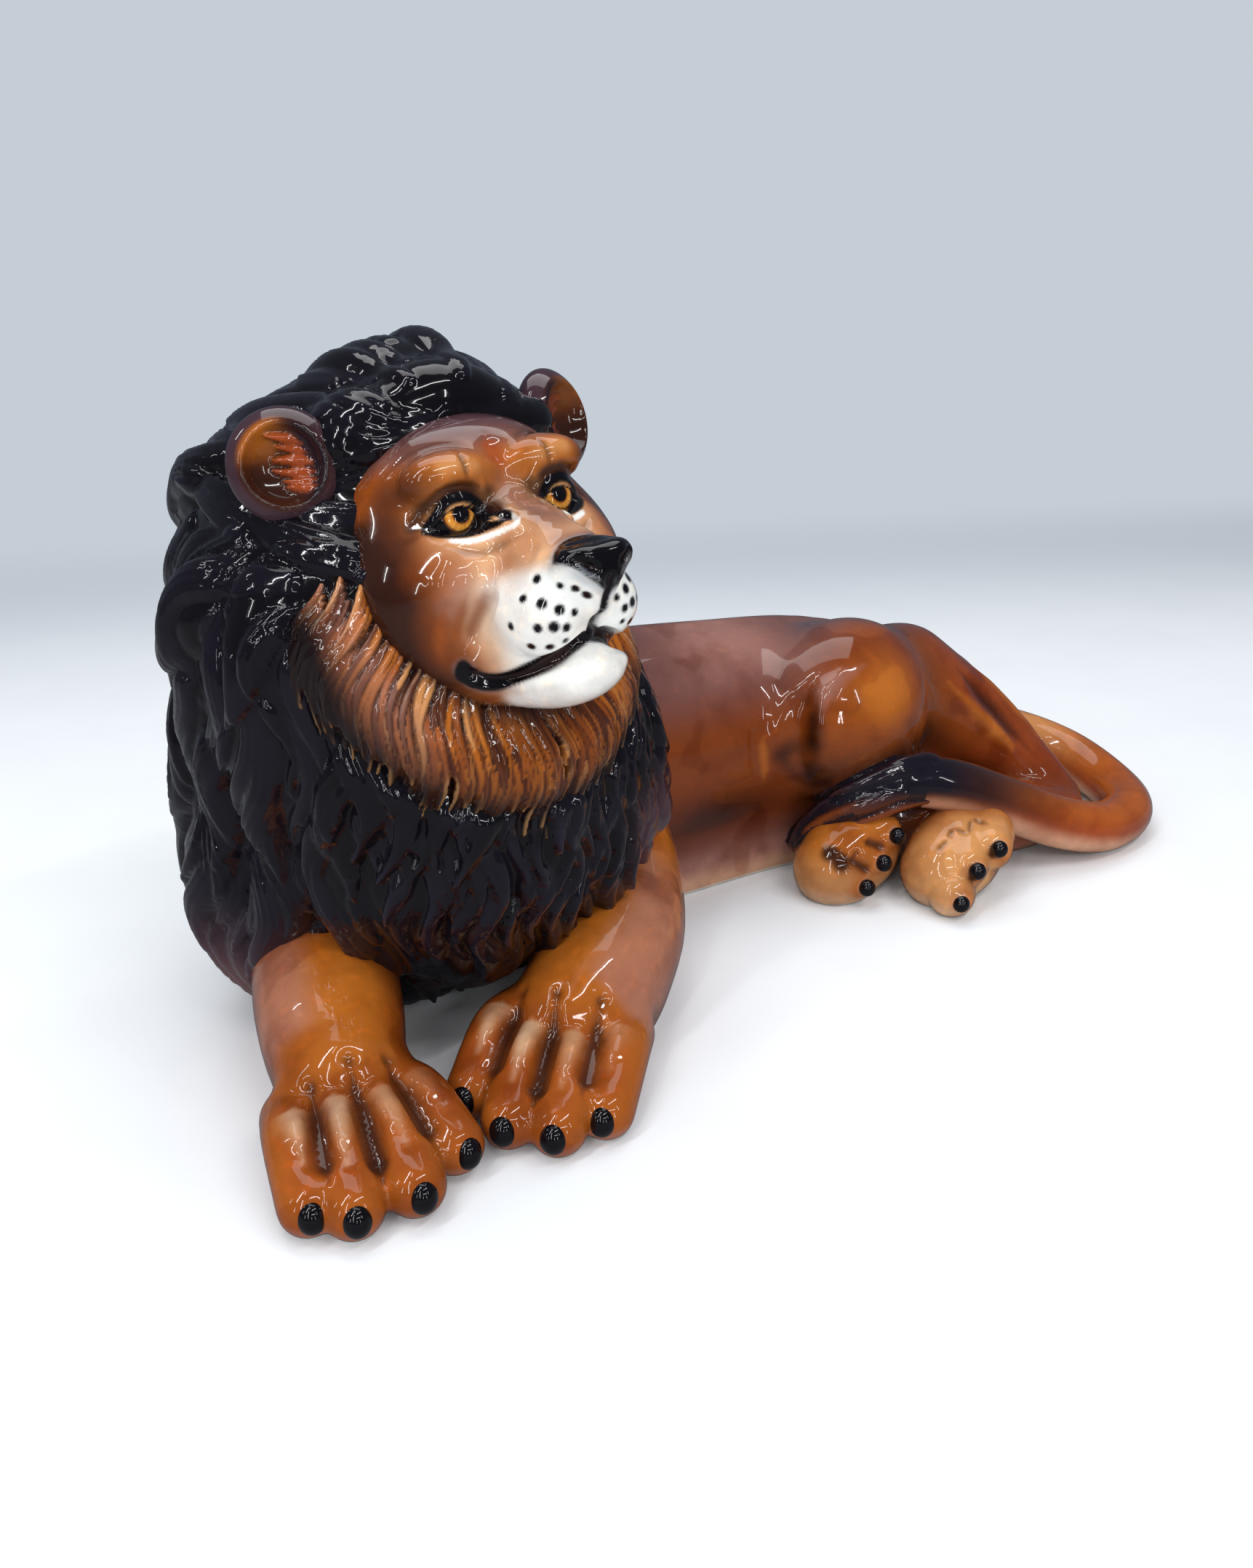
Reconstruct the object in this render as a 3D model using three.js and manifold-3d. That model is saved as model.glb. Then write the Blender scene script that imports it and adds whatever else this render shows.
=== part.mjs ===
// Glazed ceramic lion lying down with its head turned to the side.
// Hollow castings and pressings luted together, each one a mesh of its own.
// Millimetres, +Z up. The head end points to -X, the face and the paws to -Y.
import * as THREE from 'three';
import { mergeVertices } from 'three/addons/utils/BufferGeometryUtils.js';
import Module from 'manifold-3d';

const wasm = await Module();
wasm.setup();

// Driving sizes of the casting work
const WALL = 8;
const SEAM = 0.3;
const POUR_HOLE_DIAMETER = 34;

// Body, from its front end inside the chest back to the rump
const BODY_FRONT = -230;
const BODY_LENGTH = 460;
const BODY_HALF_WIDTH = 72;
const BACK_HEIGHT = 168;
const BODY_SETBACK = 84;
const RUMP_HEIGHT = 112;
const RUMP_RADII = [66, 58, 56];
const BELLY_RADIUS = 36;
const BELLY_HEIGHT = 17;
const THIGH_LENGTH = 132;
const THIGH_HEIGHT = 120;
const THIGH_SWELL = 52;
const HAM_RADIUS = 38;
const HOCK_RADIUS = 17;
const SHANK_RADIUS = 34;
const HAM_RADII = [HAM_RADIUS + 2, HAM_RADIUS - 4, HAM_RADIUS - 13, HOCK_RADIUS];
const SHANK_RADII = [SHANK_RADIUS, SHANK_RADIUS, SHANK_RADIUS - 6, HOCK_RADIUS + 1];

// Neck, chest and mane
const CHEST_WIDTH = 194;
const CHEST_DEPTH = 208;
const CHEST_HEIGHT = 214;
const FLANK_SWELL = 75;
const NECK_WIDTH = 214;
const NECK_DEPTH = 200;
const CHEST_BASE_WIDTH = 170;
const CROWN_WIDTH = 122;
const CROWN_HEIGHT = 353;
const CROWN_LIFT = 7;
const NAPE_SWELL = 64;
const NAPE_ABOVE_NECK = 46;
const HAIRLINE_RADIUS = 20;
const HAIRLINE_TAPER = 3;
const SHOULDER_SWELL = 62;

// Waves of the mane: how far apart, how wide, long and proud, and how they swing
const WAVE_SPACING = 39;
const WAVE_WIDTH = 33;
const WAVE_LENGTH = 96;
const WAVE_RISE = 10;
const WAVE_SINK = 3;
const WAVE_SWING = 0.4;
const WAVE_PERIOD = 120;
const WAVE_ROWS = 5;
const WAVE_ROW_DROP = 58;
const WAVE_TOP_DROP = 35;
const WAVE_STATIONS = 7;
const WAVE_START_HEIGHT = 0.4;
const WAVE_BEND_AXIS = [0, 0.6, -1];

// Brushing of the hair: full round the face, none below the neck, and how far it goes each way
const BRUSH_BELOW_NECK = 22;
const BRUSH_REACH = 100;
const BRUSH_BACK = 0.9;
const BRUSH_BACK_BELOW = 0.2;
const BRUSH_DOWN_EASED = 0.6;
const BRUSH_AWAY = 0.45;

// Head, measured in its own frame: x to the lion's left, y out of the face, z up
const HEAD_BELOW_CROWN = 103;
const HEAD_PLACE = [-210, -41, CROWN_HEIGHT - HEAD_BELOW_CROWN];
const HEAD_TURN = 5;
const HEAD_LIFT = 17;
const HEAD_TILT = 4.3;
const SKULL_WIDTH = 120;
const SKULL_HEIGHT = 106;
const SKULL_DEPTH = 112;
const MUZZLE_LENGTH = 104;
const MUZZLE_PAD_SPACING = 26;
const MUZZLE_PAD_RADIUS = 18;
const MUZZLE_PAD_LENGTH = 44;
const MUZZLE_RADII = [27, 28, 19];
const NOSE_WIDTH = 35;
const CHIN_WIDTH = 50;
const CHIN_DROP = 66;
const BROW_SPACING = 48;
const EYE_SPACING = 51;
const CHEEK_SPACING = 72;
const FOREHEAD_RADII = [40, 26, 22];
const BRIDGE_RADII = [23, 19, 13.5];
const CHEEK_RADII = [28, 32, 36];
const BROW_RADII = [21, 13, 10];
const UNDER_EYE_RADII = [22, 18, 18];
const JAW_RADII = [44, 40, 24];
const CHIN_RADII = [CHIN_WIDTH / 2, 33, 17];
const NOSE_RADII = [NOSE_WIDTH / 2, 12, 10];

// Ears
const EAR_SPACING = 138;
const EAR_RISE = 57;
const EAR_WIDTH = 46;
const EAR_HEIGHT = 46;
const EAR_THICKNESS = 22;
const EAR_OUTWARD_TURN = 25;
const EAR_CUP_DEPTH = 12;
const EAR_RIM = 6;

// Legs and paws
const SHOULDER_RADIUS = 46;
const ELBOW_RADIUS = 40;
const WRIST_RADIUS = 34;
const TOE_RADIUS = 14.5;
const SOLE_RADIUS = 22;
const HIND_FOOT_RADIUS = 28;
const HIND_TOE_RADIUS = 12.5;

// Tail
const TAIL_ROOT_RADIUS = 21;
const TAIL_RADIUS = 18;
const TUFT_RADIUS = 21;

// Places of the clay on the head, in the head's own frame
const SKULL_PLACE = [0, 0, 14];
const FOREHEAD_PLACE = [0, 30, 38];
const BRIDGE_COURSE = [[0, 40, 20], [0, MUZZLE_LENGTH - 36, 10], [0, MUZZLE_LENGTH - 6, -12]];
const CHEEK_PLACE = [CHEEK_SPACING / 2, 26, -8];
const BROW_PLACE = [BROW_SPACING / 2, 47, 36];
const UNDER_EYE_PLACE = [EYE_SPACING / 2, 52, -6];
const JAW_PLACE = [0, 28, -40];
const MUZZLE_PLACE = [0, MUZZLE_LENGTH - 4 - MUZZLE_RADII[1], -24];
const PAD_PLACE = [MUZZLE_PAD_SPACING / 2, MUZZLE_LENGTH - 3 - MUZZLE_PAD_LENGTH / 2, -27];
const CHIN_PLACE = [0, 62, CHIN_RADII[2] - CHIN_DROP];
const NOSE_PLACE = [0, MUZZLE_LENGTH + 2, -11];
const EAR_PLACE = [EAR_SPACING / 2, 3, EAR_RISE];
const HAIRLINE_COURSE = [[-40, 8, 58], [-24, 16, 68], [0, 20, 73], [24, 16, 68], [40, 8, 58]];
const HEAD_SPINE = [[0, 44, 2], [0, 4, 8]];

// Places of the clay in the front half, from the lion's own origin
const CHEST_PLACE = [-205, 0, 138];
const NEAR_FLANK_PLACE = [-250, 45, 126];
const FAR_FLANK_PLACE = [-212, 82, 118];
const NECK_BELOW_CROWN = 141;
const NECK_PLACE = [-222, 2, CROWN_HEIGHT - NECK_BELOW_CROWN];
const CROWN_PLACE = [-212, 4, CROWN_HEIGHT - CROWN_WIDTH / 2 - CROWN_LIFT];
const NAPE_PLACE = [-246, 30, CROWN_HEIGHT - NECK_BELOW_CROWN + NAPE_ABOVE_NECK];
const SHOULDER_PLACE = [-262, 40, 78];
const NEAR_SHOULDER_HAIR_PLACE = [-152, -18, 128];
const CHEST_BASE_PLACE = [-215, 42, 50];
const RIGHT_LEG_COURSE = [[-238, 56, 52], [-260, 30, 49], [-280, -10, 44], [-288, -50, 38], [-293, -84, 31]];
const RIGHT_TOE_TIPS = [[-334, -124, 13], [-318, -140, 13], [-291, -146, 13], [-269, -135, 13]];
const LEFT_LEG_COURSE = [[-92, 40, 60], [-106, -6, 50], [-132, -52, 43], [-160, -76, 37], [-186, -92, 31]];
const LEFT_TOE_TIPS = [[-243, -94, 13], [-238, -122, 13], [-221, -139, 13], [-193, -134, 13]];

// Places of the clay in the hindquarters: x back from the body's rear end, y from its middle line, z up
const THIGH_PLACE = [-122, -50, 108];
const HAM_COURSE = [[-65, -36, 112], [-25, -52, 84], [10, -76, 54], [32, -106, 27]];
const SHANK_COURSE = [[-118, -60, 34], [-85, -84, 34], [-35, -108, 28], [25, -116, 20]];
const TAIL_COURSE = [
  [14, 0, 54], [82, -12, 38], [108, -50, 27], [104, -98, 17], [76, -134, 16],
  [32, -148, 18], [-12, -144, 30], [-54, -130, 49], [-95, -116, 66], [-126, -106, 71],
];
const TUFT_COURSE = [[-110, -110, 70], [-133, -102, 69], [-153, -90, 57], [-165, -74, 38], [-170, -60, 24]];
const LEFT_HEEL_COURSE = [[-76, -116, 21], [-84, -130, 22], [-92, -142, 20]];
const LEFT_HIND_TOES = [
  [[-78, -142, 38], [-94, -160, 36]],
  [[-100, -144, 35], [-115, -160, 30]],
  [[-114, -142, 20], [-128, -164, 12]],
];
const RIGHT_HEEL_COURSE = [[-144, -80, 22], [-150, -92, 23], [-153, -102, 20]];
const RIGHT_HIND_TOES = [
  [[-148, -94, 40], [-138, -111, 39]],
  [[-164, -94, 34], [-158, -115, 29]],
  [[-172, -90, 20], [-170, -114, 12]],
];
const BODY_POUR_HOLE = [-190, 0];
const MANE_POUR_HOLE = [-225, 20];

// How finely the skins are faceted: round the casting, along it and over each end
const TRUNK_FACETS = { around: 32, along: 22, end: 6 };
const MANE_FACETS = { around: 64, along: 22, end: 10 };
const MANE_CAVITY_SHARE = 0.26;
const HEAD_FACETS = { around: 32, along: 5, end: 11 };
const PAD_FACETS = { around: 12, along: 1, end: 4 };
const EAR_FACETS = { around: 16, along: 1, end: 5 };
const FORELEG_FACETS = { around: 18, along: 11, end: 4 };
const LEG_FACETS = { around: 20, along: 9, end: 4 };
const TOE_FACETS = { around: 9, along: 4, end: 3 };
const FOOT_FACETS = { around: 16, along: 4, end: 4 };
const TAIL_FACETS = { around: 10, along: 38, end: 3 };
const TUFT_FACETS = { around: 14, along: 9, end: 4 };
const CAVITY_SHARE = 0.5;

const LEVEL = new THREE.Quaternion();
const UP = new THREE.Vector3(0, 0, 1);
const point = (x, y, z) => new THREE.Vector3(x, y, z);
const at = ([x, y, z]) => point(x, y, z);
const fromRear = ([x, y, z]) => point(BODY_FRONT + BODY_LENGTH + x, BODY_SETBACK + y, z);

// A lump is a turned ellipsoid of clay. It tells how far a point lies outside it.
function lump(centre, radii, blend, turn = LEVEL) {
  const back = turn.clone().invert();
  const local = new THREE.Vector3();
  return {
    blend,
    distance(place) {
      local.copy(place).sub(centre).applyQuaternion(back);
      const reach = Math.hypot(local.x / radii[0], local.y / radii[1], local.z / radii[2]);
      const slope = Math.hypot(local.x / radii[0] ** 2, local.y / radii[1] ** 2, local.z / radii[2] ** 2);
      return slope < 1e-9 ? -Math.min(...radii) : (reach * (reach - 1)) / slope;
    },
  };
}

// A roll is a sausage of clay along a curve, thick or thin as its radii say.
function roll(points, radii, blend, steps = 5) {
  const curve = new THREE.CatmullRomCurve3(points);
  const count = (points.length - 1) * steps;
  const stations = [];
  for (let i = 0; i <= count; i++) {
    const t = i / count;
    const place = t * (points.length - 1);
    const before = Math.min(Math.floor(place), points.length - 2);
    const radius = THREE.MathUtils.lerp(radii[before], radii[before + 1], smooth(place - before));
    stations.push({ place: curve.getPoint(t), radius });
  }
  const leg = new THREE.Vector3();
  const offset = new THREE.Vector3();
  const around = new THREE.Sphere().setFromPoints(stations.map((station) => station.place));
  const reach = around.radius + Math.max(...radii) + blend;
  return {
    blend,
    distance(place) {
      const clear = place.distanceTo(around.center) - reach;
      if (clear > 0) {
        return clear + blend;
      }
      let nearest = Infinity;
      for (let i = 0; i < count; i++) {
        const from = stations[i];
        const to = stations[i + 1];
        leg.copy(to.place).sub(from.place);
        offset.copy(place).sub(from.place);
        const share = THREE.MathUtils.clamp(offset.dot(leg) / leg.lengthSq(), 0, 1);
        const gap = offset.addScaledVector(leg, -share).length();
        nearest = Math.min(nearest, gap - THREE.MathUtils.lerp(from.radius, to.radius, share));
      }
      return nearest;
    },
  };
}

function smooth(share) {
  return share * share * (3 - 2 * share);
}

// Clay pressed together runs over the joint, the more the larger the blend is.
function clayDistance(form, place) {
  let total = Infinity;
  for (const piece of form) {
    const own = piece.distance(place);
    if (total === Infinity) {
      total = own;
      continue;
    }
    const overlap = Math.max(piece.blend - Math.abs(total - own), 0) / piece.blend;
    total = Math.min(total, own) - overlap * overlap * piece.blend * 0.25;
  }
  return total;
}

// The surface of a form is found by walking outward from a spine that runs inside it.
function surfacePoint(form, origin, direction, swell) {
  const place = new THREE.Vector3();
  const furthest = 320;
  const slowest = 0.4;
  const close = 1e-3;
  let inside = 0;
  let outside = 0;
  while (outside < furthest) {
    const gap = clayDistance(form, place.copy(origin).addScaledVector(direction, outside)) - swell;
    if (gap >= 0) {
      break;
    }
    inside = outside;
    outside += Math.max(-gap * 0.8, slowest);
  }
  while (outside - inside > close) {
    const middle = (inside + outside) / 2;
    const gap = clayDistance(form, place.copy(origin).addScaledVector(direction, middle)) - swell;
    if (gap < 0) {
      inside = middle;
    } else {
      outside = middle;
    }
  }
  return origin.clone().addScaledVector(direction, outside);
}

// A casting is one body or several that are joined, each with its form, its spine and its facets.
function skin(casting, swell = 0, share = 1) {
  return casting.map((body) => bodySkin(body, swell, share)).reduce((left, right) => left.add(right));
}

// A capsule blank whose points are pushed out to the clay, round a spine given by its points.
function bodySkin({ form, spine, facets, upward = UP }, swell, share) {
  const curve = spine.length > 2
    ? new THREE.CatmullRomCurve3(spine)
    : new THREE.LineCurve3(spine[0], spine[1]);
  const around = Math.max(6, Math.round(facets.around * share));
  const along = Math.max(1, Math.round(facets.along * share));
  const end = Math.max(3, Math.round(facets.end * share));
  const blank = new THREE.CapsuleGeometry(1, 1, end, around, along);
  blank.deleteAttribute('normal');
  blank.deleteAttribute('uv');
  const geometry = mergeVertices(blank);
  const position = geometry.attributes.position;
  for (let i = 0; i < position.count; i++) {
    const onSpine = THREE.MathUtils.clamp(position.getY(i), -0.5, 0.5);
    const t = 0.5 - onSpine;
    const forward = curve.getTangent(t).negate();
    const across = forward.clone().cross(upward).normalize();
    const rise = across.clone().cross(forward);
    const direction = across.multiplyScalar(position.getX(i))
      .addScaledVector(forward, position.getY(i) - onSpine)
      .addScaledVector(rise, position.getZ(i))
      .normalize();
    const place = surfacePoint(form, curve.getPoint(t), direction, swell);
    position.setXYZ(i, place.x, place.y, place.z);
  }
  return solidOf(geometry);
}

// A lump or a roll that is a body by itself, with a spine of its own.
function loneLump(centre, radii, turn, facets) {
  const half = point(0, 0, radii[2] / 4).applyQuaternion(turn);
  return {
    form: [lump(centre, radii, 1, turn)],
    spine: [centre.clone().add(half), centre.clone().sub(half)],
    upward: point(0, -1, 0).applyQuaternion(turn),
    facets,
  };
}

function loneRoll(points, radii, facets) {
  return { form: [roll(points, radii, 1)], spine: points, facets };
}

function solidOf(geometry) {
  return new wasm.Manifold(new wasm.Mesh({
    numProp: 3,
    vertProperties: Float32Array.from(geometry.attributes.position.array),
    triVerts: Uint32Array.from(geometry.index.array),
  }));
}

function plainSolid(geometry) {
  geometry.deleteAttribute('normal');
  geometry.deleteAttribute('uv');
  return solidOf(mergeVertices(geometry));
}

// Everything under a height, as the knife takes it off.
function below(height) {
  const size = 2000;
  return plainSolid(new THREE.BoxGeometry(size, size, size).translate(0, 0, height - size / 2));
}

function pourHole(place) {
  const hole = new THREE.CylinderGeometry(POUR_HOLE_DIAMETER / 2, POUR_HOLE_DIAMETER / 2, 6 * WALL, 24);
  return plainSolid(hole.rotateX(Math.PI / 2).translate(place.x, place.y, 0));
}

// The space inside a hollow casting, with a floor as thick as the wall.
function cavity([body], share = CAVITY_SHARE) {
  return bodySkin(body, -WALL, share).subtract(below(WALL));
}

const grown = (casting) => skin(casting, SEAM);

function cut(solid, ...others) {
  return others.reduce((left, other) => left.subtract(other), solid);
}

// Body casting: barrel, rump and thigh, with the ham and the folded shank pressed onto it
function trunkCasting() {
  const side = BODY_SETBACK;
  const core = BACK_HEIGHT - BODY_HALF_WIDTH;
  const alongBody = (back, y, z) => point(BODY_FRONT + BODY_LENGTH * back, y, z);
  return [{
    form: [
      roll(
        [
          alongBody(0.02, side - 14, core), alongBody(0.17, side - 6, core), alongBody(0.37, side, core - 1),
          alongBody(0.54, side + 2, core - 4), alongBody(0.71, side + 1, core - 9),
          alongBody(0.86, side, core - 20), alongBody(0.99, side - 6, RUMP_RADII[2]),
        ],
        [
          BODY_HALF_WIDTH - 10, BODY_HALF_WIDTH, BODY_HALF_WIDTH + 2, BODY_HALF_WIDTH,
          BODY_HALF_WIDTH - 2, BODY_HALF_WIDTH - 12, BODY_HALF_WIDTH - 28,
        ],
        20,
      ),
      roll(
        [
          alongBody(0.24, side - 22, BELLY_HEIGHT), alongBody(0.43, side - 18, BELLY_HEIGHT),
          alongBody(0.63, side - 18, BELLY_HEIGHT), alongBody(0.8, side - 24, BELLY_HEIGHT),
          alongBody(0.93, side - 34, BELLY_HEIGHT),
        ],
        [BELLY_RADIUS, BELLY_RADIUS, BELLY_RADIUS, BELLY_RADIUS + 2, BELLY_RADIUS - 2],
        22,
      ),
      roll(
        [
          alongBody(0.17, side + 18, BELLY_HEIGHT + 9), alongBody(0.41, side + 28, BELLY_HEIGHT + 6),
          alongBody(0.63, side + 28, BELLY_HEIGHT + 6), alongBody(0.83, side + 21, BELLY_HEIGHT + 4),
        ],
        [BELLY_RADIUS + 2, BELLY_RADIUS + 6, BELLY_RADIUS + 6, BELLY_RADIUS + 4],
        25,
      ),
      lump(
        fromRear(THIGH_PLACE), [THIGH_LENGTH / 2, THIGH_SWELL, THIGH_HEIGHT / 2], 18,
        turnToward(point(0.25, -1, 0.1)),
      ),
      roll(HAM_COURSE.slice(0, 2).map(fromRear), HAM_RADII, 14),
      lump(point(BODY_FRONT + BODY_LENGTH - 25, side - 4, RUMP_HEIGHT - 42), RUMP_RADII, 22),
      roll(SHANK_COURSE.slice(0, 2).map(fromRear), SHANK_RADII, 16),
    ],
    spine: [
      alongBody(0.04, side - 20, BACK_HEIGHT / 2), alongBody(0.28, side - 8, BACK_HEIGHT / 2),
      alongBody(0.54, side - 8, BACK_HEIGHT / 2 - 6), alongBody(0.76, side - 22, BACK_HEIGHT / 2 - 12),
      alongBody(0.93, side - 34, RUMP_HEIGHT - 52),
    ],
    facets: TRUNK_FACETS,
  },
  loneRoll(HAM_COURSE.map(fromRear), HAM_RADII, LEG_FACETS),
  loneRoll(SHANK_COURSE.map(fromRear), SHANK_RADII, LEG_FACETS)];
}

// The head's own frame: out of the face, then turned, lifted and tilted.
const degrees = THREE.MathUtils.degToRad;
const headTurn = new THREE.Quaternion()
  .setFromAxisAngle(point(0, 0, 1), degrees(HEAD_TURN))
  .multiply(new THREE.Quaternion().setFromAxisAngle(point(1, 0, 0), degrees(-HEAD_LIFT)))
  .multiply(new THREE.Quaternion().setFromAxisAngle(point(0, 1, 0), degrees(-HEAD_TILT)));

function onHead([x, y, z], side = 1) {
  return point(side * x, -y, z).applyQuaternion(headTurn).add(at(HEAD_PLACE));
}

// Neck, chest and shoulders under the hair
function maneForm() {
  const crown = CROWN_WIDTH / 2;
  const hairlineRadii = HAIRLINE_COURSE.map((_, i) => HAIRLINE_RADIUS - Math.abs(i - 2) * HAIRLINE_TAPER);
  return [
    lump(at(CHEST_PLACE), [CHEST_WIDTH / 2, CHEST_DEPTH / 2, CHEST_HEIGHT / 2], 25),
    lump(at(NEAR_FLANK_PLACE), [FLANK_SWELL, FLANK_SWELL, CHEST_HEIGHT / 2], 25),
    lump(at(FAR_FLANK_PLACE), [FLANK_SWELL, FLANK_SWELL, CHEST_HEIGHT / 2], 25),
    lump(at(NECK_PLACE), [NECK_WIDTH / 2, NECK_DEPTH / 2, NECK_WIDTH / 2], 30),
    lump(at(CROWN_PLACE), [crown, crown + 1, crown + CROWN_LIFT], 24),
    lump(at(NAPE_PLACE), [NAPE_SWELL, NAPE_SWELL, NAPE_SWELL], 24),
    lump(at(SHOULDER_PLACE), [SHOULDER_SWELL, SHOULDER_SWELL + 4, SHOULDER_SWELL], 24),
    lump(at(NEAR_SHOULDER_HAIR_PLACE), [SHOULDER_SWELL - 8, SHOULDER_SWELL, SHOULDER_SWELL + 26], 24),
    lump(at(CHEST_BASE_PLACE), [CHEST_BASE_WIDTH / 2, SHOULDER_SWELL + 4, SHOULDER_SWELL - 2], 24),
    roll(HAIRLINE_COURSE.map((place) => onHead(place)), hairlineRadii, 16),
  ];
}

// Out of a form, and onto its surface
function outOf(form, place) {
  const step = 1.5;
  const slope = new THREE.Vector3();
  for (const axis of ['x', 'y', 'z']) {
    const side = place.clone();
    side[axis] += step;
    const ahead = clayDistance(form, side);
    side[axis] -= 2 * step;
    slope[axis] = ahead - clayDistance(form, side);
  }
  return slope.normalize();
}

function landOn(form, place) {
  for (let round = 0; round < 5; round++) {
    place.addScaledVector(outOf(form, place), -clayDistance(form, place));
  }
  return place;
}

// The hair runs back from the face over the crown, and down everywhere below it.
function hairFlow(place) {
  const face = point(0, -1, 0).applyQuaternion(headTurn);
  const away = place.clone().sub(at(HEAD_PLACE)).projectOnPlane(face).normalize();
  const neck = CROWN_HEIGHT - NECK_BELOW_CROWN - BRUSH_BELOW_NECK;
  const high = smooth(THREE.MathUtils.clamp((place.z - neck) / BRUSH_REACH, 0, 1));
  return face.negate().setZ(0).multiplyScalar(BRUSH_BACK_BELOW + BRUSH_BACK * high)
    .addScaledVector(UP, BRUSH_DOWN_EASED * high - 1)
    .addScaledVector(away, BRUSH_AWAY * high);
}

// One wave of hair: a roll that lies mostly in the form and swings as it runs along it.
function wave(form, start) {
  const half = WAVE_WIDTH / 2;
  const radius = (half * half + WAVE_RISE * WAVE_RISE) / (2 * WAVE_RISE);
  const here = landOn(form, start);
  const places = [];
  const radii = [];
  for (let i = 0; i < WAVE_STATIONS; i++) {
    const share = i / (WAVE_STATIONS - 1);
    const out = outOf(form, here);
    const flow = hairFlow(here).projectOnPlane(out).normalize();
    const phase = here.dot(at(WAVE_BEND_AXIS)) * 2 * Math.PI / WAVE_PERIOD;
    const heading = flow.clone().addScaledVector(flow.clone().cross(out), WAVE_SWING * Math.sin(phase)).normalize();
    const root = smooth(Math.min(1, WAVE_START_HEIGHT + share * 2));
    const proud = WAVE_RISE * root * Math.sqrt(1 - Math.max(0, share * 2 - 1) ** 2);
    places.push(here.clone().addScaledVector(out, WAVE_RISE - WAVE_SINK - radius));
    radii.push(radius - WAVE_RISE + proud);
    landOn(form, here.addScaledVector(heading, WAVE_LENGTH / (WAVE_STATIONS - 1)));
  }
  return roll(places, radii, 2, 2);
}

// Rows of waves, each row staggered against the one above it
function waves(form) {
  const middle = at(CROWN_PLACE).add(at(CHEST_PLACE)).multiplyScalar(0.5);
  const rows = [];
  for (let row = 0; row < WAVE_ROWS; row++) {
    const height = CROWN_HEIGHT - WAVE_TOP_DROP - WAVE_ROW_DROP * row;
    const radius = THREE.MathUtils.lerp(CROWN_WIDTH / 2 + 4, NECK_WIDTH / 2 - 8, Math.min(1, row / 3));
    const count = Math.round(2 * Math.PI * radius / WAVE_SPACING);
    for (let i = 0; i < count; i++) {
      const angle = (i + 0.5 * (row % 2)) * 2 * Math.PI / count;
      const start = point(middle.x + radius * Math.cos(angle), middle.y + radius * Math.sin(angle), height);
      rows.push(wave(form, start));
    }
  }
  return rows;
}

function maneCasting() {
  const plain = maneForm();
  const sunk = plain.map((piece) => ({ ...piece, distance: (place) => piece.distance(place) + WAVE_SINK }));
  const body = {
    form: plain,
    spine: [
      point(NECK_PLACE[0], CHEST_PLACE[1] + 8, CHEST_PLACE[2] - 48),
      point(CROWN_PLACE[0] - 6, CROWN_PLACE[1] - 6, CROWN_PLACE[2] - 12),
    ],
    upward: point(0, -1, 0),
    facets: MANE_FACETS,
  };
  return { combed: [{ ...body, form: [...sunk, ...waves(plain)] }], plain: [body] };
}

function turnToward(direction) {
  return new THREE.Quaternion().setFromUnitVectors(point(0, -1, 0), direction.clone().normalize());
}

function headCasting() {
  const cheeks = [-1, 1].flatMap((side) => [
    lump(onHead(CHEEK_PLACE, side), CHEEK_RADII, 14, headTurn),
    lump(onHead(UNDER_EYE_PLACE, side), UNDER_EYE_RADII, 12, headTurn),
  ]);
  const padRadii = [MUZZLE_PAD_RADIUS, MUZZLE_PAD_LENGTH / 2, MUZZLE_PAD_RADIUS];
  return [
    {
      form: [
        lump(onHead(SKULL_PLACE), [SKULL_WIDTH / 2, SKULL_DEPTH / 2, SKULL_HEIGHT / 2], 10, headTurn),
        lump(onHead(FOREHEAD_PLACE), FOREHEAD_RADII, 12, headTurn),
        roll(BRIDGE_COURSE.map((place) => onHead(place)), BRIDGE_RADII, 10),
        ...cheeks,
        lump(onHead(MUZZLE_PLACE), MUZZLE_RADII, 10, headTurn),
        lump(onHead(JAW_PLACE), JAW_RADII, 14, headTurn),
      ],
      spine: HEAD_SPINE.map((place) => onHead(place)),
      facets: HEAD_FACETS,
    },
    loneLump(onHead(BROW_PLACE, -1), BROW_RADII, headTurn, PAD_FACETS),
    loneLump(onHead(BROW_PLACE), BROW_RADII, headTurn, PAD_FACETS),
    loneLump(onHead(PAD_PLACE, -1), padRadii, headTurn, PAD_FACETS),
    loneLump(onHead(PAD_PLACE), padRadii, headTurn, PAD_FACETS),
    loneLump(onHead(CHIN_PLACE), CHIN_RADII, headTurn, PAD_FACETS),
    loneLump(onHead(NOSE_PLACE), NOSE_RADII, headTurn, PAD_FACETS),
  ];
}

// An ear is a pressed cup with a thick rim, set into the hair beside the brow and turned outward.
function earTurn(side) {
  const outward = new THREE.Quaternion().setFromAxisAngle(UP, degrees(side * EAR_OUTWARD_TURN));
  return headTurn.clone().multiply(outward);
}

function earPlace(side, forward) {
  return point(0, -forward, 0).applyQuaternion(earTurn(side)).add(onHead(EAR_PLACE, side));
}

function earCasting(side) {
  const radii = [EAR_WIDTH / 2, EAR_THICKNESS / 2, EAR_HEIGHT / 2];
  return [loneLump(earPlace(side, 0), radii, earTurn(side), EAR_FACETS)];
}

function earCup(side) {
  const radii = [EAR_WIDTH / 2 - EAR_RIM, EAR_CUP_DEPTH, EAR_HEIGHT / 2 - EAR_RIM];
  return [loneLump(earPlace(side, EAR_THICKNESS / 2), radii, earTurn(side), EAR_FACETS)];
}

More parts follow.
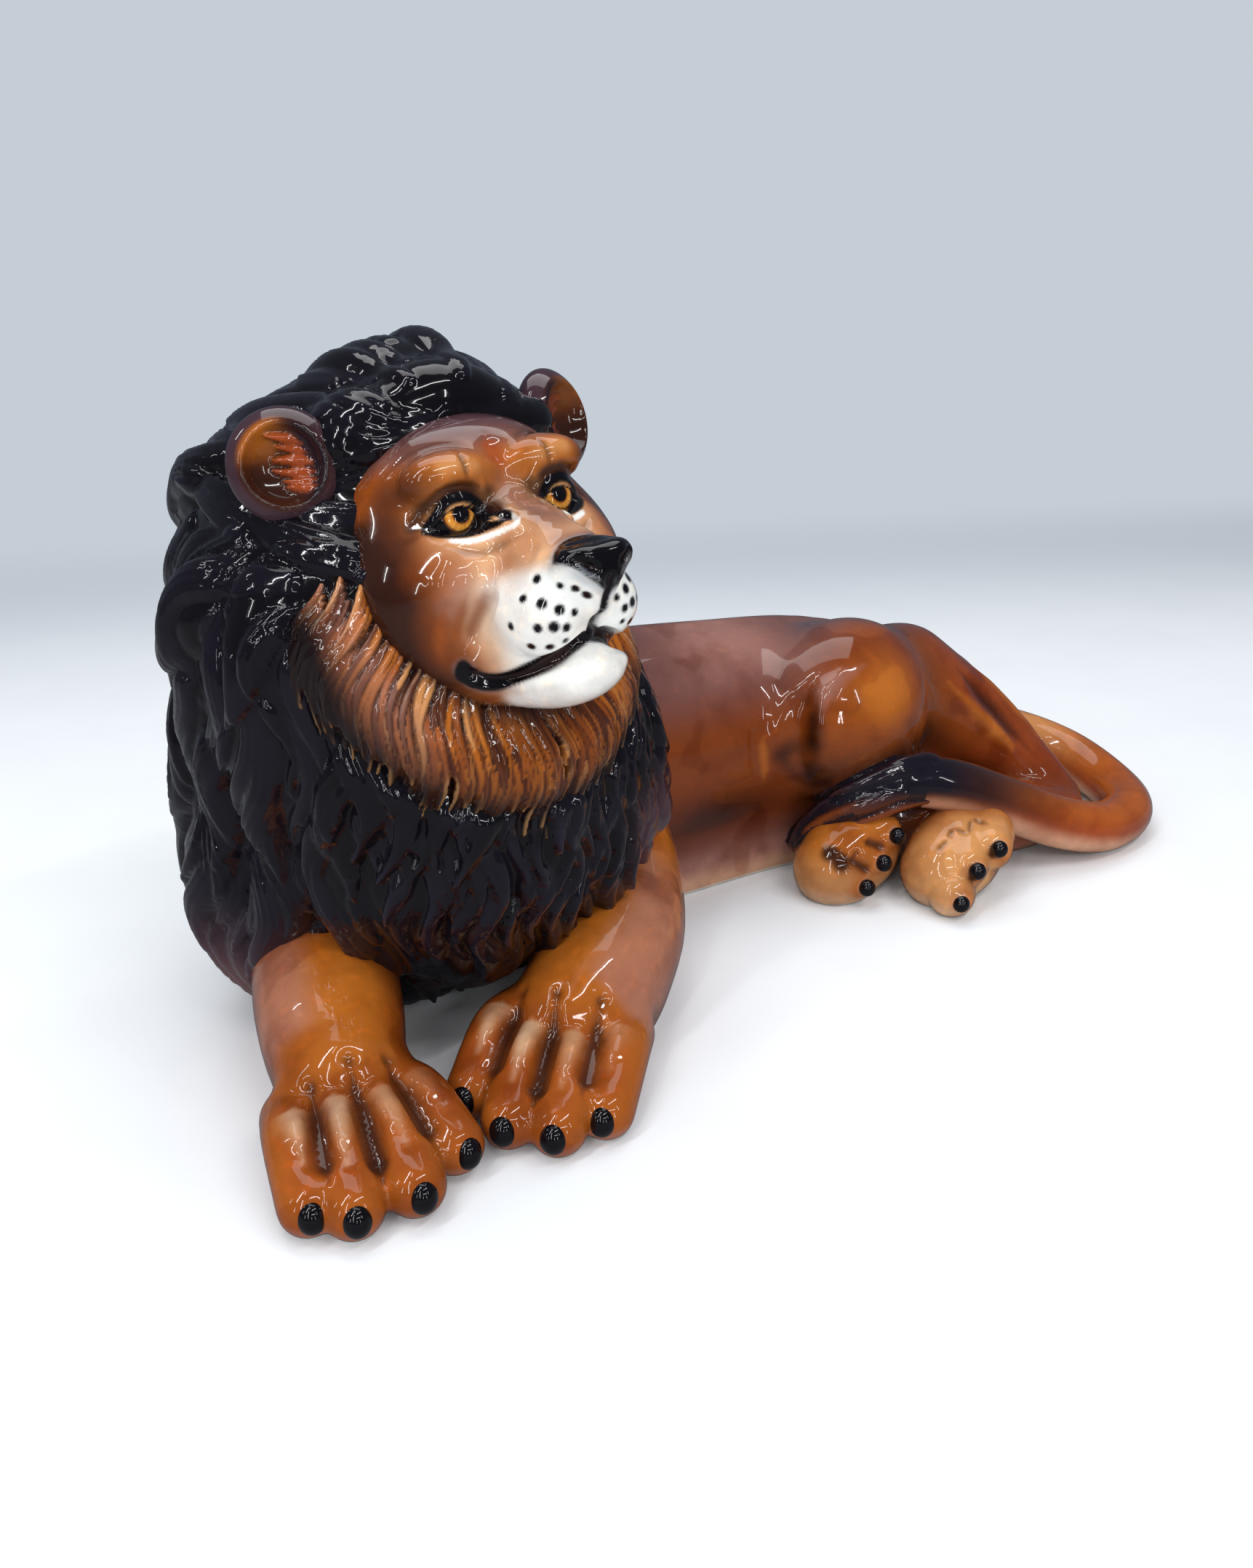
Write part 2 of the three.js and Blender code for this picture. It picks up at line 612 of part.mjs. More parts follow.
// A toe is a roll of clay from the wrist over its knuckle down to its tip on the floor.
function toe(wrist, tip, spread, rise) {
  const root = wrist.clone().lerp(point(tip.x, tip.y, wrist.z), spread);
  const knuckle = root.clone().lerp(tip, 0.55).add(point(0, 0, rise));
  return loneRoll([root, knuckle, tip], [TOE_RADIUS, TOE_RADIUS, TOE_RADIUS - 1], TOE_FACETS);
}

function forelegCasting(course, toeTips) {
  const bend = course.map(at);
  const tips = toeTips.map(at);
  const wrist = bend[bend.length - 1];
  const thickness = [
    SHOULDER_RADIUS, ELBOW_RADIUS, (ELBOW_RADIUS + WRIST_RADIUS) / 2, WRIST_RADIUS + 1, WRIST_RADIUS - 3,
  ];
  const toeRise = 7;
  const toeSpread = 0.3;
  const sole = bend.slice(1).map((place) => place.clone().setZ(SOLE_RADIUS * 0.6));
  const middle = tips[1].clone().lerp(tips[2], 0.5);
  return [
    {
      form: [
        roll(bend, thickness, 12),
        roll(sole, [ELBOW_RADIUS - 10, SOLE_RADIUS + 6, SOLE_RADIUS + 6, SOLE_RADIUS], 14),
        lump(wrist.clone().lerp(middle, 0.4).setZ(10), [WRIST_RADIUS + 2, WRIST_RADIUS, SOLE_RADIUS - 4], 10),
      ],
      spine: bend.map((place) => place.clone().setZ(place.z * 0.75)),
      facets: FORELEG_FACETS,
    },
    ...tips.map((tip) => toe(wrist, tip, toeSpread, toeRise)),
  ];
}

// A hind paw is a rounded heel with three toes that rise one over the other.
function hindFootCasting(heelCourse, toes) {
  const heel = heelCourse.map(fromRear);
  return [
    {
      form: [roll(heel, [HIND_FOOT_RADIUS, HIND_FOOT_RADIUS, HIND_FOOT_RADIUS - 6], 8)],
      spine: [heel[0], heel[heel.length - 1]],
      facets: FOOT_FACETS,
    },
    ...toes.map((places) => loneRoll(places.map(fromRear), [HIND_TOE_RADIUS + 2, HIND_TOE_RADIUS - 1], TOE_FACETS)),
  ];
}

// The hollow of the tail stops short of its tip, so that it opens only at the root.
function tailHollow([tail]) {
  const hollow = loneRoll(tail.spine.slice(0, -2), tail.thickness.slice(0, -2), TAIL_FACETS);
  return cavity([hollow]);
}

function tailCasting() {
  const course = TAIL_COURSE.map(fromRear);
  const thickness = course.map((_, i) => Math.max(TAIL_ROOT_RADIUS - i, TAIL_RADIUS));
  thickness[course.length - 1] = TAIL_RADIUS - 4;
  return [{ ...loneRoll(course, thickness, TAIL_FACETS), thickness }];
}

function tuftCasting() {
  const course = TUFT_COURSE.map(fromRear);
  const thickness = [TAIL_RADIUS + 3, TUFT_RADIUS + 1, TUFT_RADIUS, TUFT_RADIUS - 5, TUFT_RADIUS - 11];
  return [loneRoll(course, thickness, TUFT_FACETS)];
}

function glaze(color, roughness = 0.12) {
  return new THREE.MeshStandardMaterial({ color, roughness, metalness: 0 });
}

const BLACK_GLAZE = glaze('#1b1720');
const AMBER_GLAZE = glaze('#a8602a');
const BROWN_GLAZE = glaze('#6e4632');
const TAN_GLAZE = glaze('#c08a5a');

function meshOf(name, solid, material) {
  const { vertProperties, triVerts, numProp } = solid.getMesh();
  const places = new Float32Array((vertProperties.length / numProp) * 3);
  for (let i = 0; i < places.length / 3; i++) {
    places.set(vertProperties.subarray(i * numProp, i * numProp + 3), i * 3);
  }
  const geometry = new THREE.BufferGeometry();
  geometry.setAttribute('position', new THREE.BufferAttribute(places, 3));
  geometry.setIndex(new THREE.BufferAttribute(Uint32Array.from(triVerts), 1));
  geometry.computeVertexNormals();
  const mesh = new THREE.Mesh(geometry, material);
  mesh.name = name;
  return mesh;
}

function buildLion() {
  const floor = below(0);
  const trunk = trunkCasting();
  const { combed: mane, plain: maneCore } = maneCasting();
  const head = headCasting();
  const tail = tailCasting();
  const tuft = tuftCasting();
  const trunkRoom = grown(trunk);
  const maneRoom = grown(mane);
  const headRoom = grown(head);
  const tailRoom = grown(tail);
  const tuftRoom = grown(tuft);
  const farFoot = hindFootCasting(RIGHT_HEEL_COURSE, RIGHT_HIND_TOES);
  const nearFoot = hindFootCasting(LEFT_HEEL_COURSE, LEFT_HIND_TOES);
  const farFootRoom = grown(farFoot);
  const lion = new THREE.Group();
  const add = (name, solid, material) => lion.add(meshOf(name, solid, material));

  const bodyHole = pourHole(fromRear([...BODY_POUR_HOLE, 0]));
  const maneHole = pourHole(at([...MANE_POUR_HOLE, 0]));
  add('trunk', cut(skin(trunk), floor, cavity(trunk), maneRoom, bodyHole), BROWN_GLAZE);
  const maneHollow = cavity(maneCore, MANE_CAVITY_SHARE);
  add('mane', cut(skin(mane), floor, maneHollow, headRoom, maneHole), BLACK_GLAZE);
  add('head', cut(skin(head), cavity(head), maneHollow), AMBER_GLAZE);
  for (const [name, side] of [['right_ear', -1], ['left_ear', 1]]) {
    add(name, cut(skin(earCasting(side)), skin(earCup(side)), maneRoom, headRoom), BLACK_GLAZE);
  }
  const rightLeg = forelegCasting(RIGHT_LEG_COURSE, RIGHT_TOE_TIPS);
  const leftLeg = forelegCasting(LEFT_LEG_COURSE, LEFT_TOE_TIPS);
  add('right_foreleg', cut(skin(rightLeg), floor, cavity(rightLeg), maneRoom, trunkRoom), AMBER_GLAZE);
  add(
    'left_foreleg',
    cut(skin(leftLeg), floor, cavity(leftLeg), maneRoom, trunkRoom, grown(rightLeg)),
    AMBER_GLAZE,
  );
  add('tail', cut(skin(tail), floor, tailHollow(tail), trunkRoom), BROWN_GLAZE);
  add('tail_tuft', cut(skin(tuft), floor, trunkRoom, tailRoom), BLACK_GLAZE);
  add('right_hind_foot', cut(skin(farFoot), floor, trunkRoom, tailRoom, tuftRoom), TAN_GLAZE);
  add('left_hind_foot', cut(skin(nearFoot), floor, trunkRoom, tailRoom, tuftRoom, farFootRoom), TAN_GLAZE);
  return lion;
}

const group = buildLion();
const box = new THREE.Box3().setFromObject(group);
const middle = box.getCenter(new THREE.Vector3());
group.position.set(-middle.x, -middle.y, -box.min.z);
group.updateMatrixWorld(true);

export default group;
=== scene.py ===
"""Looks of a glazed ceramic lion that lies with its head turned: castings, hair, painted glazes and stage.

Shapes are worked out in millimetres in the lion's own frame, with the head end at -X and the face at -Y.
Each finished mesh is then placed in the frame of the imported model, in metres.
"""

import logging
import math
from dataclasses import dataclass, replace
from enum import Enum
from functools import partial, partialmethod
from typing import Callable, Iterable, Optional, Sequence

import bmesh
import bpy
import numpy as np
from mathutils import Matrix, Vector
from mathutils.bvhtree import BVHTree


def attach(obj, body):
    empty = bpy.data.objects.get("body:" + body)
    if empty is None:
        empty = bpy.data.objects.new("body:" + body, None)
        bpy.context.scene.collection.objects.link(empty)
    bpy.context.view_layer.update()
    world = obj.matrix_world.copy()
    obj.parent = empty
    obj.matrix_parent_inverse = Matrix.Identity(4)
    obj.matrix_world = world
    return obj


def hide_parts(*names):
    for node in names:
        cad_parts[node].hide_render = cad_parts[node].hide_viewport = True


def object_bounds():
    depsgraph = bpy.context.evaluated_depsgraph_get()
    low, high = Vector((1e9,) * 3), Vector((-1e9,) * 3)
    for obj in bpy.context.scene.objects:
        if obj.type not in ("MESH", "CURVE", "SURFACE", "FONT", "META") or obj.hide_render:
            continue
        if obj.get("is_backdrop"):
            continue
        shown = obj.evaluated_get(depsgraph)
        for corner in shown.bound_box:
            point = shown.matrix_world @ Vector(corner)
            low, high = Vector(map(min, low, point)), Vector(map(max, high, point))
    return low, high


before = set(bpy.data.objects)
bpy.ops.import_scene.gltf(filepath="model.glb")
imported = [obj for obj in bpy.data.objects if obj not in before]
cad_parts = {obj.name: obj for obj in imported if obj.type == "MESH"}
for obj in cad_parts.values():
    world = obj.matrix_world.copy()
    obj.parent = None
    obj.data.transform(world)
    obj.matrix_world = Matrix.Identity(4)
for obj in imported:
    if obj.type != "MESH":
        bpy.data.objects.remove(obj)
CAD_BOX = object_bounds()
LOG = logging.getLogger("lion")

Array = np.ndarray
Place = tuple[float, float, float]
Course = Sequence[Place]
Radii = tuple[float, ...]

MILLIMETRE = 0.001
LION_IN_FRAME = np.array([-5.54, 0.50, 0.0])
ROOT_BODY = "root"
GLAZE_LAYER = "glaze_colour"
RELIEF_LAYER = "relief"
OUT_OF_FACE = np.diag([1.0, -1.0, 1.0])


def unit(direction: Sequence[float]) -> Array:
    """Return the direction with a length of one."""
    vector = np.asarray(direction, float)
    return vector / np.linalg.norm(vector)


def unit_rows(vectors: Array) -> Array:
    """Return each row with a length of one."""
    return vectors / np.maximum(np.linalg.norm(vectors, axis=1, keepdims=True), 1e-9)


def eased(share: Array) -> Array:
    """Return a share from 0 to 1 with soft ends."""
    held = np.clip(share, 0.0, 1.0)
    return held * held * (3.0 - 2.0 * held)


def band(values: Array, start: float, end: float) -> Array:
    """Return a soft ramp that is 0 at start and 1 at end, whichever is larger."""
    return eased((values - start) / (end - start))


def turn_about(axis: str, degrees: float) -> Array:
    """Return the turn about X, Y or Z as a 3 by 3 matrix."""
    return np.array(Matrix.Rotation(math.radians(degrees), 3, axis))


def turn_toward(direction: Sequence[float]) -> Array:
    """Return the smallest turn that points a lump's own -Y the given way."""
    return np.array(Vector((0.0, -1.0, 0.0)).rotation_difference(Vector(direction)).to_matrix())


def flowing(course: Course, steps: int = 6) -> Array:
    """Run a smooth line through a few chosen places.

    Args:
        course: The places, and further values beside them if there are any.
        steps: How many short legs each stretch is split into.

    Returns:
        One row for each place on the line.
    """
    knots = np.asarray(course, float)
    if len(knots) == 2:
        share = np.linspace(0.0, 1.0, steps + 1)[:, None]
        return knots[0] + (knots[1] - knots[0]) * share
    held = np.vstack([2 * knots[0] - knots[1], knots, 2 * knots[-1] - knots[-2]])
    rows = []
    for i in range(len(knots) - 1):
        before, start, end, after = held[i : i + 4]
        last = i == len(knots) - 2
        for share in np.linspace(0.0, 1.0, steps + 1)[: None if last else -1]:
            slope = (end - before) * share
            bend = (2 * before - 5 * start + 4 * end - after) * share**2
            twist = (3 * start - before - 3 * end + after) * share**3
            rows.append(0.5 * (2 * start + slope + bend + twist))
    return np.array(rows)


def to_leg(places: Array, start: Array, end: Array) -> tuple[Array, Array]:
    """Return how far along a leg the point nearest to each place is, from 0 to 1, and the gap to it."""
    leg = end - start
    offset = places - start
    share = np.clip(offset @ leg / max(float(leg @ leg), 1e-9), 0.0, 1.0)
    return share, np.linalg.norm(offset - share[:, None] * leg, axis=1)


def gap_to_course(places: Array, line: Array) -> tuple[Array, Array]:
    """Measure how far each place lies from a line of short legs.

    Args:
        places: One row for each place.
        line: The line's own places in order.

    Returns:
        The gap to the line, and how far along it the nearest point is, from 0 to 1.
    """
    gap = np.full(len(places), np.inf)
    along = np.zeros(len(places))
    count = len(line) - 1
    for i in range(count):
        share, own = to_leg(places, line[i], line[i + 1])
        closer = own < gap
        gap[closer] = own[closer]
        along[closer] = (i + share[closer]) / count
    return gap, along


class Lump:
    """A turned ellipsoid of clay."""

    def __init__(
        self, centre: Sequence[float], radii: Sequence[float], blend: float, turn: Optional[Array] = None
    ) -> None:
        """Keep the lump's place, radii, blend into its neighbours and turn."""
        self.centre = np.asarray(centre, float)
        self.radii = np.asarray(radii, float)
        self.blend = blend
        self.turn = np.eye(3) if turn is None else turn

    def distance(self, places: Array) -> Array:
        """Return how far outside the lump each place lies."""
        local = (places - self.centre) @ self.turn
        reach = np.linalg.norm(local / self.radii, axis=1)
        slope = np.linalg.norm(local / self.radii**2, axis=1)
        return reach * (reach - 1.0) / np.maximum(slope, 1e-6)


class Roll:
    """A sausage of clay along a course, thick or thin as its radii say."""

    def __init__(self, course: Course, radii: Sequence[float], blend: float, steps: int = 5) -> None:
        """Keep the smooth line through the course and the radius at each of its places."""
        self.line = flowing(course, steps)
        self.radii = flowing([(r, 0.0, 0.0) for r in radii], steps)[:, 0]
        self.blend = blend

    def distance(self, places: Array) -> Array:
        """Return how far outside the roll each place lies."""
        nearest = np.full(len(places), np.inf)
        for i in range(len(self.line) - 1):
            share, gap = to_leg(places, self.line[i], self.line[i + 1])
            radius = self.radii[i] + share * (self.radii[i + 1] - self.radii[i])
            nearest = np.minimum(nearest, gap - radius)
        return nearest


class Clay:
    """Lumps and rolls pressed together, so that the clay runs over their joints."""

    PRESS_ROUNDS = 34
    PRESS_SHARE = 0.9

    def __init__(self, *pieces: object) -> None:
        """Keep the pieces in the order in which they are pressed on."""
        self.pieces = pieces

    def distance(self, places: Array) -> Array:
        """Return how far outside the clay each place lies."""
        total = self.pieces[0].distance(places)
        for piece in self.pieces[1:]:
            own = piece.distance(places)
            overlap = np.maximum(piece.blend - np.abs(total - own), 0.0) / piece.blend
            total = np.minimum(total, own) - overlap * overlap * piece.blend * 0.25
        return total

    def out(self, places: Array, reach: float = 1.5) -> Array:
        """Return the direction that leads straight out of the clay at each place."""
        slope = np.empty_like(places)
        for axis in range(3):
            step = np.zeros(3)
            step[axis] = reach
            slope[:, axis] = self.distance(places + step) - self.distance(places - step)
        return unit_rows(slope)

    def land(self, places: Array, swell: float = 0.0, rounds: int = 4) -> Array:
        """Move places onto the surface of the clay, or as far above it as the swell says."""
        landed = np.array(places, float)
        for _ in range(rounds):
            landed -= self.out(landed) * (self.distance(landed) - swell)[:, None]
        return landed

    def pressed(
        self, spine: Course, fineness: int, swell: float = 0.0, furthest: float = 330.0
    ) -> bmesh.types.BMesh:
        """Press a ball blank onto the clay, from outside toward a spine inside it.

        Args:
            spine: A course inside the clay that the blank is drawn toward.
            fineness: How often the blank's faces are split.
            swell: How far above the clay the skin ends.
            furthest: How far from the spine the blank starts.

        Returns:
            The closed skin.
        """
        blank = bmesh.new()
        bmesh.ops.create_icosphere(blank, subdivisions=fineness, radius=1.0)
        outward = np.array([vertex.co for vertex in blank.verts], float)
        line = flowing(spine, 8)
        axis = unit(line[-1] - line[0])
        share = 0.5 + np.arcsin(np.clip(outward @ axis, -1.0, 1.0)) / math.pi
        leg = share * (len(line) - 1)
        before = np.minimum(leg.astype(int), len(line) - 2)
        origin = line[before] + (line[before + 1] - line[before]) * (leg - before)[:, None]
        reach = np.full(len(outward), furthest)
        for _ in range(self.PRESS_ROUNDS):
            gap = self.distance(origin + outward * reach[:, None]) - swell
            reach = np.maximum(reach - gap * self.PRESS_SHARE, 0.0)
        for vertex, place in zip(blank.verts, origin + outward * reach[:, None]):
            vertex.co = place
        return blank


@dataclass(frozen=True)
class HeadFrame:
    """The head's own frame: x to the lion's left, y out of the face, z up."""

    place: Place = (-210.0, -41.0, 250.0)
    turn: float = 5.0
    lift: float = 17.0
    tilt: float = 4.3

    @property
    def turned(self) -> Array:
        """Return the head's turn as a matrix."""
        return turn_about("Z", self.turn) @ turn_about("X", -self.lift) @ turn_about("Y", -self.tilt)

    @property
    def axes(self) -> Array:
        """Return the matrix whose columns are left, out of the face and up."""
        return self.turned @ OUT_OF_FACE

    def on(self, *place: float) -> Array:
        """Return a place of the head in the lion's frame."""
        return self.axes @ np.asarray(place, float) + np.asarray(self.place)

    def course(self, places: Course, side: int = 1) -> Array:
        """Return a course of the head in the lion's frame, where a side of -1 mirrors it."""
        return (np.asarray(places, float) * (side, 1.0, 1.0)) @ self.axes.T + np.asarray(self.place)

    def of(self, places: Array) -> Array:
        """Return places of the lion in the head's own frame."""
        return (places - np.asarray(self.place)) @ self.axes


HEAD = HeadFrame()


class Skin:
    """A casting's mesh held as arrays, for carving and painting."""

    PRESS_START = 90.0
    PRESS_REACH = 170.0

    def __init__(self, piece: bpy.types.Object) -> None:
        """Read the piece's mesh and start it in bare white clay."""
        self.piece = piece
        self.mesh = piece.data
        count = len(self.mesh.vertices)
        flat = np.empty(count * 3, np.float32)
        self.mesh.vertices.foreach_get("co", flat)
        self.places = flat.reshape(-1, 3).astype(float)
        edges = np.empty(len(self.mesh.edges) * 2, np.int32)
        self.mesh.edges.foreach_get("vertices", edges)
        self.edges = edges.reshape(-1, 2)
        self.valence = np.bincount(self.edges.ravel(), minlength=count).astype(float)
        self.colour = np.ones((count, 3))
        self.relief = np.zeros(count)
        self.tree: Optional[BVHTree] = None
        self.press: Optional[Array] = None

    def averaged(self, values: Array) -> Array:
        """Return each vertex's mean of its neighbours' values."""
        total = np.empty_like(values)
        first, second = self.edges[:, 0], self.edges[:, 1]
        for i in range(values.shape[1]):
            total[:, i] = np.bincount(first, values[second, i], len(values))
            total[:, i] += np.bincount(second, values[first, i], len(values))
        return total / self.valence[:, None]

    def softened(self, values: Array, rounds: int) -> Array:
        """Return the values after they have run into their neighbours for some rounds."""
        for _ in range(rounds):
            values = 0.5 * values + 0.5 * self.averaged(values)
        return values

    def sponge(self, rounds: int) -> None:
        """Smooth the clay with a damp sponge."""
        self.places += self.softened(self.places, rounds) - self.places
        self.tree = None

    def stand(self, height: float = 0.0) -> None:
        """Raise what lies below a height up to it, as the floor does."""
        self.places[:, 2] = np.maximum(self.places[:, 2], height)

    def write(self) -> None:
        """Put the places back in the mesh."""
        self.mesh.vertices.foreach_set("co", self.places.astype(np.float32).ravel())
        self.mesh.update()

    def out(self, rounds: int = 0) -> Array:
        """Return the outward direction at each vertex, run together for some rounds."""
        self.write()
        flat = np.empty(len(self.places) * 3, np.float32)
        self.mesh.vertices.foreach_get("normal", flat)
        return unit_rows(self.softened(flat.reshape(-1, 3).astype(float), rounds))

    def landed(self, line: Array) -> Array:
        """Return a line moved onto the skin, along the press of the tools or else the shortest way."""
        if self.tree is None:
            self.write()
            held = bmesh.new()
            held.from_mesh(self.mesh)
            self.tree = BVHTree.FromBMesh(held)
            held.free()
        landed = []
        for place in line:
            hit = None
            if self.press is not None:
                start = Vector(place - self.press * self.PRESS_START)
                hit = self.tree.ray_cast(start, Vector(self.press), self.PRESS_REACH)[0]
            landed.append(hit or self.tree.find_nearest(Vector(place))[0])
        return np.array(landed)

    def brush(self, course: Course, width: float, taper: float = 0.0, hardness: float = 0.0) -> Array:
        """Return how strongly a tool drawn along a course touches each vertex.

        Args:
            course: The places that the tool passes, which are landed on the skin first.
            width: How far from the line the tool still touches.
            taper: The share of the length at each end over which the tool thins out.
            hardness: The share of the width that gets the full touch.

        Returns:
            One value from 0 to 1 for each vertex.
        """
        line = self.landed(flowing(course) if len(course) > 1 else np.asarray(course))
        touch = np.zeros(len(self.places))
        low, high = line.min(0) - width, line.max(0) + width
        near = np.nonzero(((self.places > low) & (self.places < high)).all(1))[0]
        if len(near) == 0:
            return touch
        if len(line) == 1:
            gap = np.linalg.norm(self.places[near] - line[0], axis=1)
            along = np.full(len(near), 0.5)
        else:
            gap, along = gap_to_course(self.places[near], line)
        reach = np.full(len(near), width)
        if taper > 0.0:
            ends = np.minimum(along, 1.0 - along) / taper
            reach = width * (0.25 + 0.75 * eased(ends))
        touch[near] = 1.0 - eased((gap / reach - hardness) / (1.0 - hardness))
        if taper > 0.0:
            touch[near] *= 0.3 + 0.7 * eased(ends)
        return touch

    def carve(self, course: Course, width: float, height: float, *how: float) -> None:
        """Raise or press the clay along a course, with the taper and the hardness of the tool last."""
        touch = self.brush(course, width, *how)
        self.places += self.out(2) * (touch * height)[:, None]

    def paint(self, colour: "Colour", mask: Array) -> None:
        """Lay a colour over the clay, as strongly as the mask says."""
        share = np.clip(np.asarray(mask, float), 0.0, 1.0)
        self.colour += (colour.linear - self.colour) * share[:, None]

    def coats(self, *coats: tuple["Colour", Array]) -> None:
        """Lay colours over each other, each with its mask."""
        for colour, mask in coats:
            self.paint(colour, mask)

    def line(
        self, colour: "Colour", course: Course, width: float, strength: float = 1.0, *how: float
    ) -> None:
        """Paint along a course, with the taper and the hardness of the brush last."""
        self.paint(colour, self.brush(course, width, *how) * strength)

    def cuts(self, rows: Iterable[tuple], to_lion: Callable[[Course], Array] = np.array) -> None:
        """Carve each row: a course, a width, a height, and maybe a taper and a hardness."""
        for course, *how in rows:
            self.carve(to_lion(course), *how)

    def lines(self, rows: Iterable[tuple], to_lion: Callable[[Course], Array] = np.array) -> None:
        """Paint each row: a colour, a course, a width, a strength, and maybe a taper and a hardness."""
        for colour, course, *how in rows:
            self.line(colour, to_lion(course), *how)

    def measure_relief(self, rounds: int, deepest: float) -> None:
        """Keep how far each vertex stands above the softened skin, as a share of the deepest relief."""
        lifted = (self.places - self.softened(self.places, rounds)) * self.out()
        self.relief = np.clip(lifted.sum(1) / deepest, -1.0, 1.0)


class Colour:
    """A glaze colour written as hexadecimal digits."""

    def __init__(self, digits: str) -> None:
        """Keep the colour in linear light."""
        values = np.array([int(digits[i : i + 2], 16) for i in (0, 2, 4)]) / 255.0
        self.linear = np.where(values <= 0.04045, values / 12.92, ((values + 0.055) / 1.055) ** 2.4)

    @property
    def rgba(self) -> tuple[float, float, float, float]:
        """Return the colour as a shader socket takes it."""
        return (*self.linear.tolist(), 1.0)


class Pot:
    """The glaze colours on the decorator's bench."""

    BLACK = Colour("0b090d")
    NIGHT = Colour("16131c")
    BLUE_BLACK = Colour("2a2838")
    DARK_BROWN = Colour("2e1710")
    UMBER = Colour("4a2616")
    MAUVE = Colour("76504a")
    DARK_MAUVE = Colour("4a333a")
    ROSE = Colour("a27468")
    SIENNA = Colour("8a4416")
    AMBER = Colour("b06420")
    ORANGE = Colour("c07028")
    RUST = Colour("97431c")
    TAN = Colour("cf9a64")
    PEACH = Colour("d8a888")
    CREAM = Colour("ead9c0")
    WHITE = Colour("e9e9e4")
    GREY = Colour("8f949c")
    BISQUE = Colour("dcd8d0")
    IRIS = Colour("e0a040")


class Wire:
    """A shader socket that adds Math nodes when values are worked out from it."""

    def __init__(self, board: "Board", socket: bpy.types.NodeSocket) -> None:
        """Keep the socket and the board it is on."""
        self.board = board
        self.socket = socket

    def _math(self, operation: str, other: object, flipped: bool = False) -> "Wire":
        """Add one Math node, with the other value on the right or, when flipped, on the left."""
        values = (other, self) if flipped else (self, other)
        node = self.board.node("ShaderNodeMath", {"operation": operation}, dict(enumerate(values)))
        return Wire(self.board, node.outputs[0])

    __add__ = partialmethod(_math, "ADD")
    __radd__ = partialmethod(_math, "ADD", flipped=True)
    __sub__ = partialmethod(_math, "SUBTRACT")
    __rsub__ = partialmethod(_math, "SUBTRACT", flipped=True)
    __mul__ = partialmethod(_math, "MULTIPLY")
    __rmul__ = partialmethod(_math, "MULTIPLY", flipped=True)

    def ramp(self, start: float, end: float) -> "Wire":
        """Return a soft ramp from 0 at start to 1 at end."""
        sockets = {"Value": self, "From Min": start, "From Max": end}
        node = self.board.node("ShaderNodeMapRange", {"interpolation_type": "SMOOTHSTEP"}, sockets)
        return Wire(self.board, node.outputs["Result"])


class Board:
    """The node tree of one material or of the world."""

    def __init__(self, owner: bpy.types.ID, output: str) -> None:
        """Clear the owner's nodes, so that only its output is on the board."""
        owner.use_nodes = True
        self.tree = owner.node_tree
        self.tree.nodes.clear()
        self.output = self.tree.nodes.new(output)

    def feed(self, socket: bpy.types.NodeSocket, value: object) -> None:
        """Give a socket a value, or lead a wire or another socket to it."""
        source = value.socket if isinstance(value, Wire) else value
        if isinstance(source, bpy.types.NodeSocket):
            self.tree.links.new(source, socket)
        else:
            socket.default_value = source

    def show(self, shader: bpy.types.NodeSocket) -> None:
        """Lead a shader to the output."""
        self.feed(self.output.inputs["Surface"], shader)

    def node(
        self, kind: str, settings: Optional[dict] = None, sockets: Optional[dict] = None
    ) -> bpy.types.Node:
        """Add a node.

        Args:
            kind: The node's type.
            settings: Its properties, set before its sockets.
            sockets: The value or the wire of each socket, by name or by number.

        Returns:
            The new node.
        """
        node = self.tree.nodes.new(kind)
        for name, value in (settings or {}).items():
            setattr(node, name, value)
        for name, value in (sockets or {}).items():
            self.feed(node.inputs[name], value)
        return node

    def mixed(
        self, factor: object, first: object, second: object, blend: str = "MIX"
    ) -> bpy.types.NodeSocket:
        """Mix two colours and return the result's socket."""
        node = self.node("ShaderNodeMix", {"data_type": "RGBA", "blend_type": blend})
        inputs = [socket for socket in node.inputs if socket.enabled]
        for socket, value in zip(inputs, (factor, first, second)):
            self.feed(socket, value)
        return next(socket for socket in node.outputs if socket.enabled)

    def layer(self, name: str) -> bpy.types.Node:
        """Return a node that reads a layer of the mesh."""
        return self.node("ShaderNodeAttribute", {"attribute_type": "GEOMETRY", "attribute_name": name})

    def clouds(self, scale: float, detail: float) -> Wire:
        """Return soft noise around one half on the piece's own coordinates.

        Args:
            scale: Clouds in a metre.
            detail: How much finer noise there is in it.

        Returns:
            The noise.
        """
        where = self.node("ShaderNodeTexCoord").outputs["Object"]
        sockets = {"Vector": where, "Scale": scale, "Detail": detail}
        return Wire(self, self.node("ShaderNodeTexNoise", None, sockets).outputs[0])


